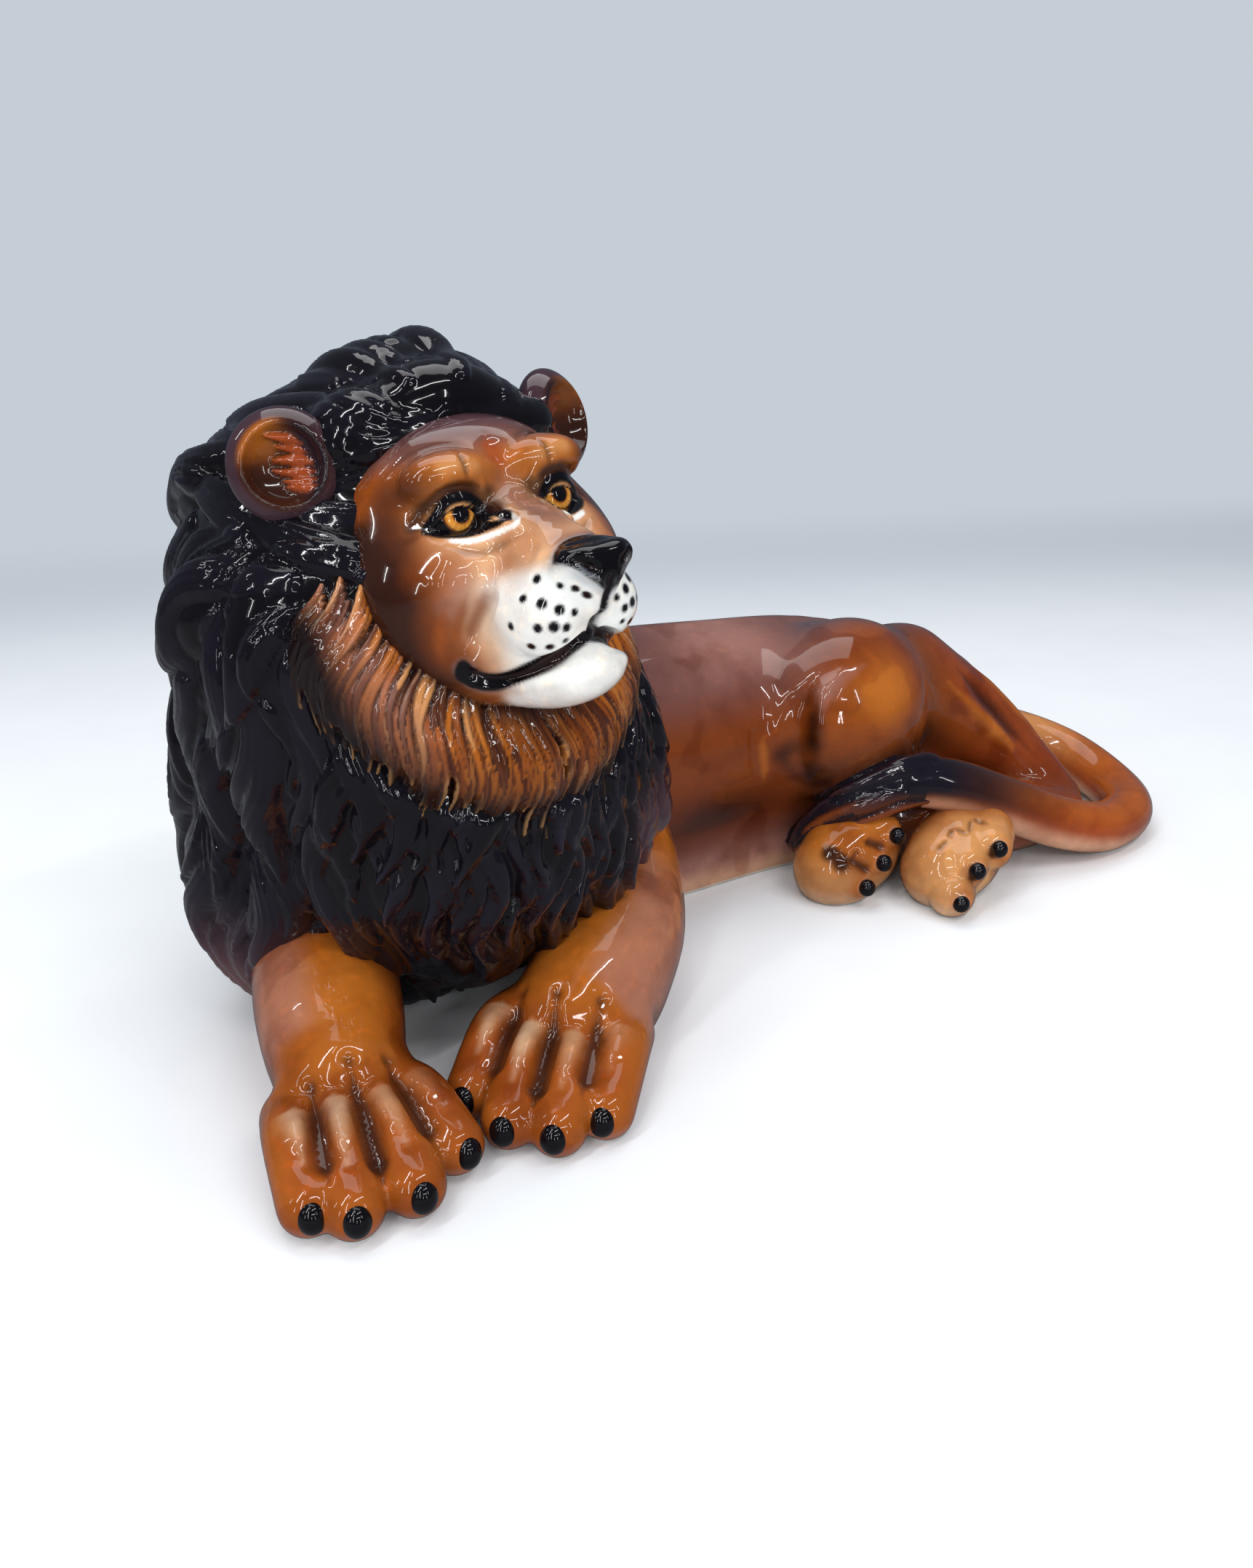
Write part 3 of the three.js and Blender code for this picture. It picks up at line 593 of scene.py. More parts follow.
@dataclass(frozen=True)
class Glaze:
    """Clear glossy glaze over hand painted colours."""

    name: str
    pooling: Colour = Pot.UMBER
    pooling_strength: float = 0.55
    # painted sheen: a colour laid over the ridge tops of the relief as a painted highlight, and how strongly
    painted_sheen: Colour = Pot.TAN
    painted_sheen_strength: float = 0.0
    mottling: float = 0.25
    patches: float = 0.0
    gloss: float = 0.09
    waviness: float = 0.12

    BROAD_TINT = (0.62, 0.5, 0.45, 1.0)
    FINE_TINT = (1.3, 1.15, 1.0, 1.0)
    RUN_TINT = (0.62, 0.45, 0.36, 1.0)
    GRAIN_TINT = (0.7, 0.62, 0.6, 1.0)
    BUMP_DEPTH = 0.004
    SHEEN = {
        "IOR": 1.45,
        "Specular IOR Level": 0.1,
        "Coat Weight": 1.0,
        "Coat Roughness": 0.025,
        "Coat IOR": 1.36,
    }

    def material(self) -> bpy.types.Material:
        """Build the glaze's nodes and return the material."""
        material = bpy.data.materials.new(self.name)
        board = Board(material, "ShaderNodeOutputMaterial")
        relief = Wire(board, board.layer(RELIEF_LAYER).outputs["Fac"])
        fine = board.clouds(170.0, 3.0)
        colour = board.layer(GLAZE_LAYER).outputs["Color"]
        for factor, tint in (
            (board.clouds(34.0, 4.0).ramp(0.4, 0.72) * self.mottling, self.BROAD_TINT),
            (fine.ramp(0.5, 0.78) * self.mottling, self.FINE_TINT),
            (board.clouds(17.0, 2.0).ramp(0.545, 0.575) * self.patches, self.RUN_TINT),
            (board.clouds(900.0, 1.0).ramp(0.6, 0.75) * 0.25, self.GRAIN_TINT),
        ):
            colour = board.mixed(factor, colour, tint, "MULTIPLY")
        colour = board.mixed(relief.ramp(-0.08, -0.75) * self.pooling_strength, colour, self.pooling.rgba)
        # Painted sheen: ridge tops of the relief are mixed toward the sheen colour as a painted highlight.
        colour = board.mixed(relief.ramp(0.1, 0.8) * self.painted_sheen_strength, colour, self.painted_sheen.rgba)
        height = board.clouds(42.0, 2.0) + board.clouds(420.0, 2.0) * 0.04
        sockets = {"Strength": self.waviness, "Distance": self.BUMP_DEPTH, "Height": height}
        bump = board.node("ShaderNodeBump", None, sockets).outputs[0]
        looks = {"Base Color": colour, "Roughness": self.gloss + fine * 0.08, **self.SHEEN, "Normal": bump}
        board.show(board.node("ShaderNodeBsdfPrincipled", None, looks).outputs[0])
        return material


class Slot(Enum):
    """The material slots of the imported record."""

    BODY = "body_glaze"
    MANE = "mane_glaze"
    FACE = "face_glaze"
    EAR = "ear_glaze"
    LEG = "leg_glaze"
    PAW = "paw_glaze"
    TAIL = "tail_glaze"
    TUFT = "tuft_glaze"


def placed(name: str, data: bpy.types.ID) -> bpy.types.Object:
    """Put an object with the given data in the scene."""
    thing = bpy.data.objects.new(name, data)
    bpy.context.scene.collection.objects.link(thing)
    return thing


def meshed(body: bmesh.types.BMesh, name: str) -> bpy.types.Mesh:
    """Turn a body into a mesh and use it up."""
    mesh = bpy.data.meshes.new(name)
    body.to_mesh(mesh)
    body.free()
    return mesh


def joined(bodies: Iterable[bmesh.types.BMesh], name: str) -> bpy.types.Object:
    """Put bodies of clay in the scene as one object, and use them up."""
    whole = bmesh.new()
    for body in bodies:
        held = meshed(body, name)
        whole.from_mesh(held)
        bpy.data.meshes.remove(held)
    return placed(name, meshed(whole, name))


def fused(bodies: Iterable[bmesh.types.BMesh], name: str, grain: float) -> Skin:
    """Join bodies of clay into one closed skin of even squares.

    Args:
        bodies: The closed bodies, which are used up.
        name: The piece's name.
        grain: The size of the squares in millimetres.

    Returns:
        The skin of the piece, still in millimetres.
    """
    piece = joined(bodies, name)
    mesh = piece.data
    remesh = piece.modifiers.new("even", "REMESH")
    remesh.mode = "VOXEL"
    remesh.voxel_size = grain
    remesh.use_smooth_shade = True
    bpy.context.view_layer.update()
    even = bpy.data.meshes.new_from_object(piece.evaluated_get(bpy.context.evaluated_depsgraph_get()))
    piece.modifiers.clear()
    piece.data = even
    even.name = name
    bpy.data.meshes.remove(mesh)
    return Skin(piece)


def enlist(piece: bpy.types.Object, slot: Slot, *nodes: str) -> None:
    """Say which body the piece rides on and the CAD nodes that it stands for."""
    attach(piece, ROOT_BODY)
    if nodes:
        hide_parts(*nodes)
    LOG.info("%s: %d faces", piece.name, len(piece.data.polygons))


def dress(skin: Skin, glaze: Glaze, slot: Slot, *nodes: str) -> bpy.types.Object:
    """Store the painted layers, place the piece in the frame and give it its glaze.

    Args:
        skin: The piece's carved and painted skin, in millimetres.
        glaze: The finish.
        slot: The record's material slot; not used.
        nodes: The CAD nodes that it stands for.

    Returns:
        The finished piece.
    """
    skin.places = (skin.places + LION_IN_FRAME) * MILLIMETRE
    skin.write()
    mesh = skin.mesh
    colour = np.hstack([skin.colour, np.ones((len(mesh.vertices), 1))]).astype(np.float32)
    painted = mesh.color_attributes.new(name=GLAZE_LAYER, type="FLOAT_COLOR", domain="POINT")
    painted.data.foreach_set("color", colour.ravel())
    relief = mesh.attributes.new(name=RELIEF_LAYER, type="FLOAT", domain="POINT")
    relief.data.foreach_set("value", skin.relief.astype(np.float32))
    mesh.polygons.foreach_set("use_smooth", np.ones(len(mesh.polygons), bool))
    mesh.materials.clear()
    mesh.materials.append(glaze.material())
    mesh.update()
    enlist(skin.piece, slot, *nodes)
    return skin.piece


def oval(
    centre: Sequence[float], radii: Sequence[float], turn: Array, around: int = 32, over: int = 20
) -> bmesh.types.BMesh:
    """Return a turned ellipsoid with its pole along its own Y."""
    body = bmesh.new()
    bmesh.ops.create_uvsphere(body, u_segments=around, v_segments=over, radius=1.0)
    bmesh.ops.rotate(body, verts=body.verts, matrix=Matrix.Rotation(math.radians(90.0), 3, "X"))
    bmesh.ops.scale(body, verts=body.verts, vec=Vector(radii))
    if np.linalg.det(turn) < 0.0:
        bmesh.ops.reverse_faces(body, faces=body.faces)
    bmesh.ops.rotate(body, verts=body.verts, matrix=Matrix(turn.tolist()))
    bmesh.ops.translate(body, verts=body.verts, vec=Vector(centre))
    return body


def trimmed(
    body: bmesh.types.BMesh, point: Sequence[float], normal: Sequence[float]
) -> list[bmesh.types.BMFace]:
    """Cut off what lies beyond a plane, close the body again and return the new faces."""
    everything = [*body.verts, *body.edges, *body.faces]
    cut = bmesh.ops.bisect_plane(
        body, geom=everything, plane_co=Vector(point), plane_no=Vector(normal), clear_outer=True
    )
    rim = [item for item in cut["geom_cut"] if isinstance(item, bmesh.types.BMEdge)]
    return bmesh.ops.holes_fill(body, edges=rim, sides=0)["faces"]


def black_claws(name: str, claws: Iterable[bmesh.types.BMesh]) -> bpy.types.Object:
    """Join claws into one piece, keep them off the floor and glaze them black."""
    skin = Skin(joined(claws, name))
    skin.stand(0.6)
    skin.colour[:] = Pot.BLACK.linear
    return dress(skin, Glaze(name + "_glaze", mottling=0.0, gloss=0.05), Slot.PAW)


class Studio:
    """Pale floor, soft lamps and the camera at the photograph's angle."""

    EYE_POINT = (-450.2, -563.4, 371.4)
    LOOK_DOWN = 21.813
    HEADING = 32.42
    FOCAL_PIXELS = 1723.0
    FRAME_HEIGHT = 2156.0
    SENSOR = 36.0
    FLOOR_HALF = 6.0
    PALE = (0.86, 0.88, 0.90, 1.0)
    DUSTY = (0.80, 0.825, 0.85, 1.0)
    FAR = (0.50, 0.545, 0.60, 1.0)
    FLOOR_IN_GLOSS = (0.17, 0.175, 0.19, 1.0)
    WALL = (0.56, 0.61, 0.67, 1.0)
    ROOMS = (((0.80, 0.86, 0.95, 1.0), 0.4), ((0.55, 0.62, 0.80, 1.0), 0.16), (WALL, 1.0))
    LAMP_AIM = (-0.05, 0.0, 0.12)
    TUBES = (
        ("tube_left", (-1.15, -0.35, 1.55), (0.06, 1.3), 9.0),
        ("tube_right", (0.15, -1.05, 1.75), (1.3, 0.06), 9.0),
        ("tube_front", (-1.3, -1.0, 1.1), (0.05, 0.9), 4.0),
        ("tube_side", (-0.3, -1.6, 1.0), (0.9, 0.05), 4.0),
    )
    SPARK_PLACES = (
        (-2.0, 0.1, 0.9), (-1.9, -0.7, 0.5), (-1.5, -1.3, 0.6), (-0.9, -1.9, 0.5),
        (-1.6, 0.9, 1.5), (-0.7, -0.5, 2.1), (-0.1, -1.9, 0.4), (0.5, -1.5, 0.9),
    )

    def camera(self) -> None:
        """Stand the camera where the photograph was taken."""
        data = bpy.data.cameras.new("camera")
        camera = placed("camera", data)
        camera.location = (np.array(self.EYE_POINT) + LION_IN_FRAME) * MILLIMETRE
        camera.rotation_euler = (math.radians(90.0 - self.LOOK_DOWN), 0.0, -math.radians(self.HEADING))
        data.sensor_fit = "VERTICAL"
        data.sensor_height = self.SENSOR
        data.lens = self.SENSOR * self.FOCAL_PIXELS / self.FRAME_HEIGHT
        data.clip_start = 0.01
        bpy.context.scene.camera = camera

    def floor(self) -> None:
        """Lay the pale floor, which looks darker in the gloss of the glaze than it is."""
        body = bmesh.new()
        bmesh.ops.create_grid(body, x_segments=1, y_segments=1, size=self.FLOOR_HALF)
        floor = placed("studio_floor", meshed(body, "studio_floor"))
        material = bpy.data.materials.new("pale_floor")
        board = Board(material, "ShaderNodeOutputMaterial")
        pale = board.mixed(board.clouds(9.0, 5.0).ramp(0.3, 0.8) * 0.5, self.PALE, self.DUSTY)
        path = board.node("ShaderNodeLightPath")
        where = board.node("ShaderNodeTexCoord").outputs["Object"]
        split = board.node("ShaderNodeSeparateXYZ", None, {"Vector": where})
        depth = Wire(board, split.outputs["X"]) * 0.34 + Wire(board, split.outputs["Y"])
        far = board.mixed(depth.ramp(0.35, 1.5), pale, self.FAR)
        colour = board.mixed(path.outputs["Is Glossy Ray"], far, self.FLOOR_IN_GLOSS)
        looks = {"Base Color": colour, "Roughness": 0.75, "Specular IOR Level": 0.2}
        lit = board.node("ShaderNodeBsdfPrincipled", None, looks).outputs[0]
        wall = board.node("ShaderNodeEmission", None, {"Color": self.WALL, "Strength": 1.0}).outputs[0]
        seen = Wire(board, path.outputs["Is Camera Ray"]) * depth.ramp(0.7, 1.5)
        board.show(board.node("ShaderNodeMixShader", None, {0: seen, 1: lit, 2: wall}).outputs[0])
        floor.data.materials.append(material)
        floor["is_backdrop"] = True

    def world(self) -> None:
        """Surround the stage with a soft fill, a dim room for the gloss and a wall for the camera."""
        world = bpy.data.worlds.new("pale_room")
        bpy.context.scene.world = world
        board = Board(world, "ShaderNodeOutputWorld")
        path = board.node("ShaderNodeLightPath")
        rooms = [
            board.node("ShaderNodeBackground", None, {"Color": colour, "Strength": strength}).outputs[0]
            for colour, strength in self.ROOMS
        ]
        seen = rooms[0]
        for ray, room in zip(("Is Glossy Ray", "Is Camera Ray"), rooms[1:]):
            sockets = {0: path.outputs[ray], 1: seen, 2: room}
            seen = board.node("ShaderNodeMixShader", None, sockets).outputs[0]
        board.show(seen)

    def lamp(self, name: str, place: Place, size: tuple[float, float], power: float) -> None:
        """Hang one soft lamp that faces the lion.

        Args:
            name: The lamp's name.
            place: Where it hangs, in metres.
            size: Its width and height in metres.
            power: Its power in watts.
        """
        data = bpy.data.lights.new(name, "AREA")
        data.shape = "RECTANGLE"
        data.size, data.size_y = size
        data.energy = power
        lamp = placed(name, data)
        lamp.location = place
        lamp.rotation_euler = (Vector(self.LAMP_AIM) - Vector(place)).to_track_quat("-Z", "Y").to_euler()

    def build(self) -> None:
        """Set up everything that isn't part of the lion."""
        bpy.context.scene.view_settings.view_transform = "Standard"
        self.camera()
        self.floor()
        self.world()
        for tube in self.TUBES:
            self.lamp(*tube)
        for number, place in enumerate(self.SPARK_PLACES):
            self.lamp(f"spark_{number + 1}", place, (0.03, 0.5), 1.6)
        self.lamp("sky_panel", (0.2, 0.5, 2.3), (2.2, 1.4), 24.0)


@dataclass
class Head:
    """The face and skull casting with its painted features."""

    skull: Place = (60.0, 56.0, 53.0)
    brow: Place = (21.0, 13.0, 11.0)
    muzzle: Place = (27.0, 28.0, 19.0)
    pad: Place = (17.0, 21.0, 17.0)
    chin: Place = (24.0, 31.0, 14.0)
    nose: Place = (11.5, 12.0, 7.6)
    grain: float = 1.0
    eye_place: Place = (24.5, 46.5, 19.5)
    eye_radius: float = 12.5
    lid_radius: float = 14.4
    mouth: Course = (
        (1.5, 99, -38.5), (9, 98, -41.5), (17, 93, -46), (26, 84, -49.5), (33, 74, -48), (37.5, 66, -42),
    )
    spot_places: Course = (
        (18.0, -11.5, 1.7), (14.0, -16.0, 1.0), (9.5, -18.5, 1.5), (6.0, -22.0, 1.9), (24.5, -17.5, 1.4),
        (21.0, -21.0, 2.1), (16.0, -25.0, 2.0), (10.0, -27.5, 1.2), (29.0, -27.0, 1.3), (24.0, -30.0, 1.6),
        (19.0, -31.0, 2.1), (14.0, -32.5, 1.6), (24.5, -36.5, 1.5), (19.0, -38.5, 1.6), (13.5, -37.5, 0.9),
    )

    BROW_FOLD = ((8, 57, 43), (18, 56, 48), (32, 48, 48), (44, 36, 40))
    BROW_CREASE = ((20, 62, 31), (20.5, 60, 38), (19, 56, 45))
    PHILTRUM = ((0, 112, -20), (0, 106, -28), (0, 100, -38))
    UPPER_LID = ((11, 63, 14.5), (15, 58, 20), (21, 60, 25.5), (30, 56, 25.5), (38, 50, 17.5))
    LOWER_LID = ((11, 63, 13.5), (16, 60, 12.5), (25, 60, 11.0), (34, 55, 13), (39, 50, 16))
    OPENING_START = 12.0
    OPENING_WIDTH = 24.5
    UPPER_BOW = 6.8
    LOWER_BOW = 4.0
    LID_EDGE = ((9.5, 64, 16), (10.5, 64, 12), (15, 62, 9.5), (24, 58, 8.0), (31, 55, 9.2), (35, 52, 11))
    SIDE_CUTS = (
        # fold over the upper lid, tear corner, bag and the hollow beside the bridge
        (((10, 60, 24), (20, 60, 28.5), (32, 54, 28.5), (42, 43, 21)), 4.5, -1.8, 0.3),
        (((10, 64, 13), (12, 63, 14), (15, 60, 16)), 3.4, -2.0, 0.3),
        (((12, 66, 7), (24, 61, 3.5), (36, 50, 8)), 5.0, -1.3, 0.3),
        (((11, 66, 12), (14, 72, 4), (18, 80, -6)), 8.0, -2.0, 0.3),
        # soft fold over the brow and the crease down its middle
        (BROW_FOLD, 5.0, -1.2, 0.3),
        (BROW_CREASE, 2.6, -0.9, 0.3),
        # cheek bone, the fold beside the muzzle and the hollow behind the mouth's corner
        (((30, 56, 0), (40, 44, -6), (47, 30, -4)), 14.0, 1.4, 0.3),
        (((25, 82, -10), (31, 72, -22), (37, 66, -34)), 7.0, -2.0, 0.3),
        (((42, 54, -12), (46, 46, -24), (47, 42, -38)), 7.0, -1.2, 0.3),
        # nostril and its wing
        (((5, 114, -15), (10, 110, -12.5), (15, 103, -8)), 3.4, -2.6, 0.2),
        (((3, 109, -21), (9, 107, -16.5), (15, 101, -10.5)), 2.4, 0.9, 0.2),
        # mouth from the lip's middle to the hooked corner, and the lower lip's roll
        (mouth, 4.6, -3.4, 0.08, 0.2),
        (((8, 96, -50), (20, 90, -53), (34, 72, -49)), 5.0, 1.2, 0.3),
    )
    MIDDLE_CUTS = (
        # philtrum, groove between the brows and the flat top of the nose
        (PHILTRUM, 3.4, -2.8, 0.0, 0.1),
        (((0, 57, 50), (0, 60, 43), (0, 62, 34)), 13.0, -1.6, 0.4),
        (((-9, 100, -3), (9, 100, -3)), 6.0, -1.0),
    )
    FACE_LINES = (
        (Pot.SIENNA, ((36, 54, 2), (44, 42, 2), (49, 30, 0)), 14.0, 0.5),
        (Pot.RUST, ((20, 88, -4), (25, 80, -10), (29, 70, -16)), 8.0, 0.4),
        (Pot.AMBER, ((10, 62, 34), (21, 62, 37), (34, 53, 36)), 13.0, 0.6, 0.0, 0.2),
        (Pot.TAN, ((16, 62, 37), (22, 61, 39), (30, 56, 39)), 6.0, 0.45),
        (Pot.UMBER, ((12, 60, 28), (22, 58, 30.5), (34, 52, 30)), 5.0, 0.7, 0.3),
        (Pot.UMBER, ((44, 36, 34), (47, 28, 26), (49, 20, 14)), 13.0, 0.55),
        (Pot.SIENNA, ((40, 48, -8), (45, 38, -20), (43, 36, -34)), 15.0, 0.5),
        (Pot.ROSE, ((37, 54, -6), (42, 44, -16)), 9.0, 0.4),
        (Pot.DARK_BROWN, BROW_FOLD, 3.4, 0.45, 0.3),
        (Pot.DARK_BROWN, BROW_CREASE, 2.4, 0.6, 0.3),
        (Pot.UMBER, ((40, 48, 35), (47, 34, 30), (50, 22, 24)), 12.0, 0.6),
        (Pot.DARK_BROWN, ((12, 60, 19), (20, 60, 28), (31, 56, 28.5), (42, 43, 19)), 6.0, 0.85, 0.0, 0.2),
    )
    LID_LINES = (
        # dark lids, the lines behind and below the eye, painted shade between the inner corner and the brow,
        # and the white edge of the lower lid
        (Pot.BLACK, UPPER_LID, 3.4, 1.0, 0.0, 0.5),
        (Pot.BLACK, LOWER_LID, 2.8, 1.0, 0.0, 0.5),
        (Pot.UMBER, ((38, 49, 16), (46, 36, 14), (53, 20, 13)), 3.0, 0.6, 0.4),
        (Pot.UMBER, ((14, 67, 5), (24, 61, 2), (37, 50, 7)), 4.0, 0.5, 0.3),
        # painted shade from the eye's inner corner up to the brow
        (Pot.DARK_BROWN, ((12, 62, 15), (10, 62, 23), (11, 60, 31)), 7.0, 0.8, 0.3),
        (Pot.WHITE, LID_EDGE, 1.6, 1.0, 0.15, 0.6),
        # brown streaks down the cheek into the muzzle
        (Pot.SIENNA, ((27, 80, -10), (31, 72, -22), (34, 68, -31)), 4.5, 0.6, 0.3),
        (Pot.SIENNA, ((36, 62, -12), (39, 58, -24), (40, 56, -32)), 4.5, 0.6, 0.3),
        (Pot.SIENNA, ((43, 50, -14), (45, 46, -26), (44, 46, -36)), 4.5, 0.6, 0.3),
    )
    MOUTH_LINES = (
        (Pot.GREY, ((3.5, 109, -20), (9, 107, -15.5), (14, 102, -10)), 1.3, 0.5, 0.3),
        (Pot.GREY, mouth, 7.0, 0.6),
        (Pot.BLACK, mouth, 4.9, 1.0, 0.0, 0.65),
        (Pot.BLACK, ((38, 66, -40), (39, 64, -44), (36, 69, -48)), 3.4, 1.0, 0.0, 0.5),
    )

    def clay(self) -> Clay:
        """Press the skull, brows, bridge, cheeks, muzzle, pads, nose and chin together."""

        def lump(place: Place, radii: Place, blend: float) -> Lump:
            """Return a lump turned with the head."""
            return Lump(HEAD.on(*place), radii, blend, HEAD.turned)

        pieces: list[object] = [lump((0, 0, 14), self.skull, 10), lump((0, 28, 38), (42, 27, 23), 12)]
        for side in (-1, 1):
            bridge = HEAD.course(((5, 40, 14), (5.5, 68, 3), (5.5, 96, -12)), side)
            pieces.append(Roll(bridge, (16.5, 14, 10.5), 8))
        for side in (-1, 1):
            pieces.append(lump((side * 36, 26, -8), (28, 32, 36), 14))
            pieces.append(lump((side * 23.5, 51.5, 35.5), self.brow, 7))
            pieces.append(lump((side * 26, 50, -6), (22, 18, 18), 12))
        pieces.append(lump((0, 72, -24), self.muzzle, 12))
        pieces += [lump((side * 13.5, 80, -27.5), self.pad, 6) for side in (-1, 1)]
        pieces.append(lump((0, 28, -40), (44, 40, 24), 14))
        pieces.append(lump((0, 50, -47), (33, 28, 16), 10))
        pieces.append(lump((0, 66, -54), self.chin, 6))
        pieces += [lump((side * 6.5, 105, -10), self.nose, 5) for side in (-1, 1)]
        pieces.append(lump((0, 107, -17), (9, 9, 9), 5))
        pieces.append(lump((0, 102, -24), (5, 7, 9), 4))
        return Clay(*pieces)

    def lids(self, side: int) -> list[bmesh.types.BMesh]:
        """Cut the upper and the lower lid of one eye from a ball that is larger than the eye."""
        x, y, z = self.eye_place
        inner, outer = HEAD.on(side * 13.5, 55, 15), HEAD.on(side * 36.5, 54, 16)
        lids = []
        for middle, up in ((HEAD.on(side * 25, 59.8, 23.2), 1.0), (HEAD.on(side * 26, 58.5, 12.0), -1.0)):
            lid = oval(HEAD.on(side * x, y, z), (self.lid_radius,) * 3, HEAD.turned, 64, 40)
            normal = np.cross(outer - inner, middle - inner)
            normal *= -up * np.sign(normal @ HEAD.axes[:, 2])
            trimmed(lid, inner, normal)
            lids.append(lid)
        return lids

    def from_eye(self, skin: Skin, side: int) -> Array:
        """Return the skin's places in the head's own frame, counted from the middle of one eye."""
        x, y, z = self.eye_place
        return HEAD.of(skin.places) - np.array([side * x, y, z])

    def opening(self, skin: Skin, side: int, margin: float) -> Array:
        """Return which vertices lie between the lids of one eye.

        Args:
            skin: The head's skin.
            side: 1 for the left eye, -1 for the right one.
            margin: How far outside the lids' edges still counts.

        Returns:
            One truth value for each vertex.
        """
        local = self.from_eye(skin, side)
        share = (local[:, 0] * side + self.OPENING_START) / self.OPENING_WIDTH
        bow = np.sin(math.pi * np.clip(share, 0.0, 1.0))
        corner = 14.5 + share - self.eye_place[2]
        under = local[:, 2] < corner + self.UPPER_BOW * bow + margin
        inside = under & (local[:, 2] > corner - self.LOWER_BOW * bow - margin)
        edge = 0.02 - margin / self.OPENING_WIDTH
        return inside & (share > edge) & (share < 1.0 - edge) & (local[:, 1] > 0.0) & (local[:, 1] < 20.0)

    def sink_socket(self, skin: Skin, side: int) -> None:
        """Push the clay between the lids back behind the eye's ball."""
        local = self.from_eye(skin, side)
        depth = np.linalg.norm(local, axis=1)
        target = self.eye_radius - 2.0
        sunk = self.opening(skin, side, 0.0) & (depth > target)
        pull = np.where(sunk, (target - depth) / np.maximum(depth, 1e-6), 0.0)
        skin.places += (local * pull[:, None]) @ HEAD.axes.T
        skin.tree = None

    def carve(self, skin: Skin) -> None:
        """Sink the sockets, then cut and raise the face's features."""
        for side in (1, -1):
            self.sink_socket(skin, side)
            skin.cuts(self.SIDE_CUTS, partial(HEAD.course, side=side))
        skin.cuts(self.MIDDLE_CUTS, HEAD.course)

    def ground(self, skin: Skin) -> None:
        """Spray the broad colours of the face: light in front, brown toward the hair, mauve on top."""
        across, forward, high = HEAD.of(skin.places).T
        wide = np.abs(across)
        outward = wide + 0.3 * np.maximum(-high - 10.0, 0.0)
        bridge = band(wide, 13, 3) * band(high, 42, 24) * band(high, -2, 12) * band(forward, 50, 62)
        tip = band(wide, 16, 6) * band(high, 6, -1) * band(high, -8, -3) * band(forward, 86, 98)
        flank = band(np.abs(wide - 15.0), 7, 1) * band(forward, 60, 68) * band(forward, 96, 84)
        skin.colour[:] = Pot.TAN.linear
        skin.coats(
            (Pot.PEACH, band(high, 26, 4) * 0.5),
            (Pot.CREAM, band(high, 2, -26) * band(forward, 44, 74) * 0.8),
            (Pot.AMBER, band(forward, 64, 46) * 0.5),
            (Pot.SIENNA, band(forward, 54, 32) * 0.85),
            (Pot.UMBER, band(forward, 42, 25) * 0.8),
            (Pot.DARK_BROWN, band(forward, 33, 16) * 0.95),
            (Pot.UMBER, band(high, -46, -58) * band(forward, 64, 48) * 0.9),
            (Pot.SIENNA, band(outward, 30, 46) * 0.75),
            (Pot.UMBER, band(outward, 40, 51) * 0.85),
            (Pot.DARK_BROWN, band(outward, 46, 55) * 0.95),
            (Pot.SIENNA, band(high, 22, 32) * 0.8),
            (Pot.MAUVE, band(high, 40, 50) * 0.9),
            (Pot.UMBER, band(high, 42, 54) * 0.45),
            (Pot.DARK_MAUVE, band(high, 47, 60) * 0.9),
            (Pot.MAUVE, bridge * 0.85),
            (Pot.MAUVE, tip * 0.8),
            (Pot.SIENNA, flank * band(high, -16, -6) * band(high, 12, 4) * 0.45),
        )

    def muzzle_colours(self, skin: Skin) -> None:
        """Paint the white pads, lip and chin, and the black nose with its grey edge and the philtrum."""
        local = HEAD.of(skin.places)
        across, forward, high = local.T
        wide = np.abs(across)
        nose = np.linalg.norm((local - np.array([0.0, 110.0, -11.5])) / np.array([19.0, 18.0, 13.5]), axis=1)
        over = high - (0.95 * wide - 25.5)
        pads = band(high, -5, -13) * band(wide, 37, 27) * band(forward, 62, 78) * band(high, -52, -46)
        chin = band(high, -43, -48) * band(wide + 0.3 * (70.0 - forward), 33, 24) * band(forward, 46, 60)
        skin.coats(
            (Pot.WHITE, pads),
            (Pot.WHITE, chin),
            (Pot.UMBER, band(high, -68, -74) * band(forward, 70, 50) * 0.6),
            (Pot.GREY, band(nose, 1.14, 1.02) * band(over, -4.0, -1.0) * 0.55),
            (Pot.BLACK, band(nose, 1.04, 0.98) * band(over, -1.0, 0.4)),
        )
        skin.line(Pot.GREY, HEAD.course(self.PHILTRUM), 5.0, 0.5)
        skin.line(Pot.BLACK, HEAD.course(((0, 112, -18), (0, 106, -28), (0, 100, -39))), 3.2, 1.0, 0.0, 0.5)

    def colour(self, skin: Skin) -> None:
        """Paint the face."""
        self.ground(skin)
        for side in (1, -1):
            own = partial(HEAD.course, side=side)
            skin.lines(self.FACE_LINES, own)
            skin.paint(Pot.BLACK, self.opening(skin, side, 1.2))
            skin.lines(self.LID_LINES, own)
        self.muzzle_colours(skin)
        for side in (1, -1):
            skin.lines(self.MOUTH_LINES, partial(HEAD.course, side=side))
            self.spots(skin, side)
        skin.line(Pot.RUST, HEAD.course(((0, 58, 49), (0, 60, 42), (0, 62, 33))), 8.0, 0.75, 0.3, 0.1)
        for number, height in enumerate((51.0, 55.0, 58.5)):
            crease = ((34 - 3 * number, 36, height - 5), (18, 45, height), (7, 48, height))
            for side in (-1, 1):
                skin.line(Pot.UMBER, HEAD.course(crease, side), 1.2, 0.25, 0.4)

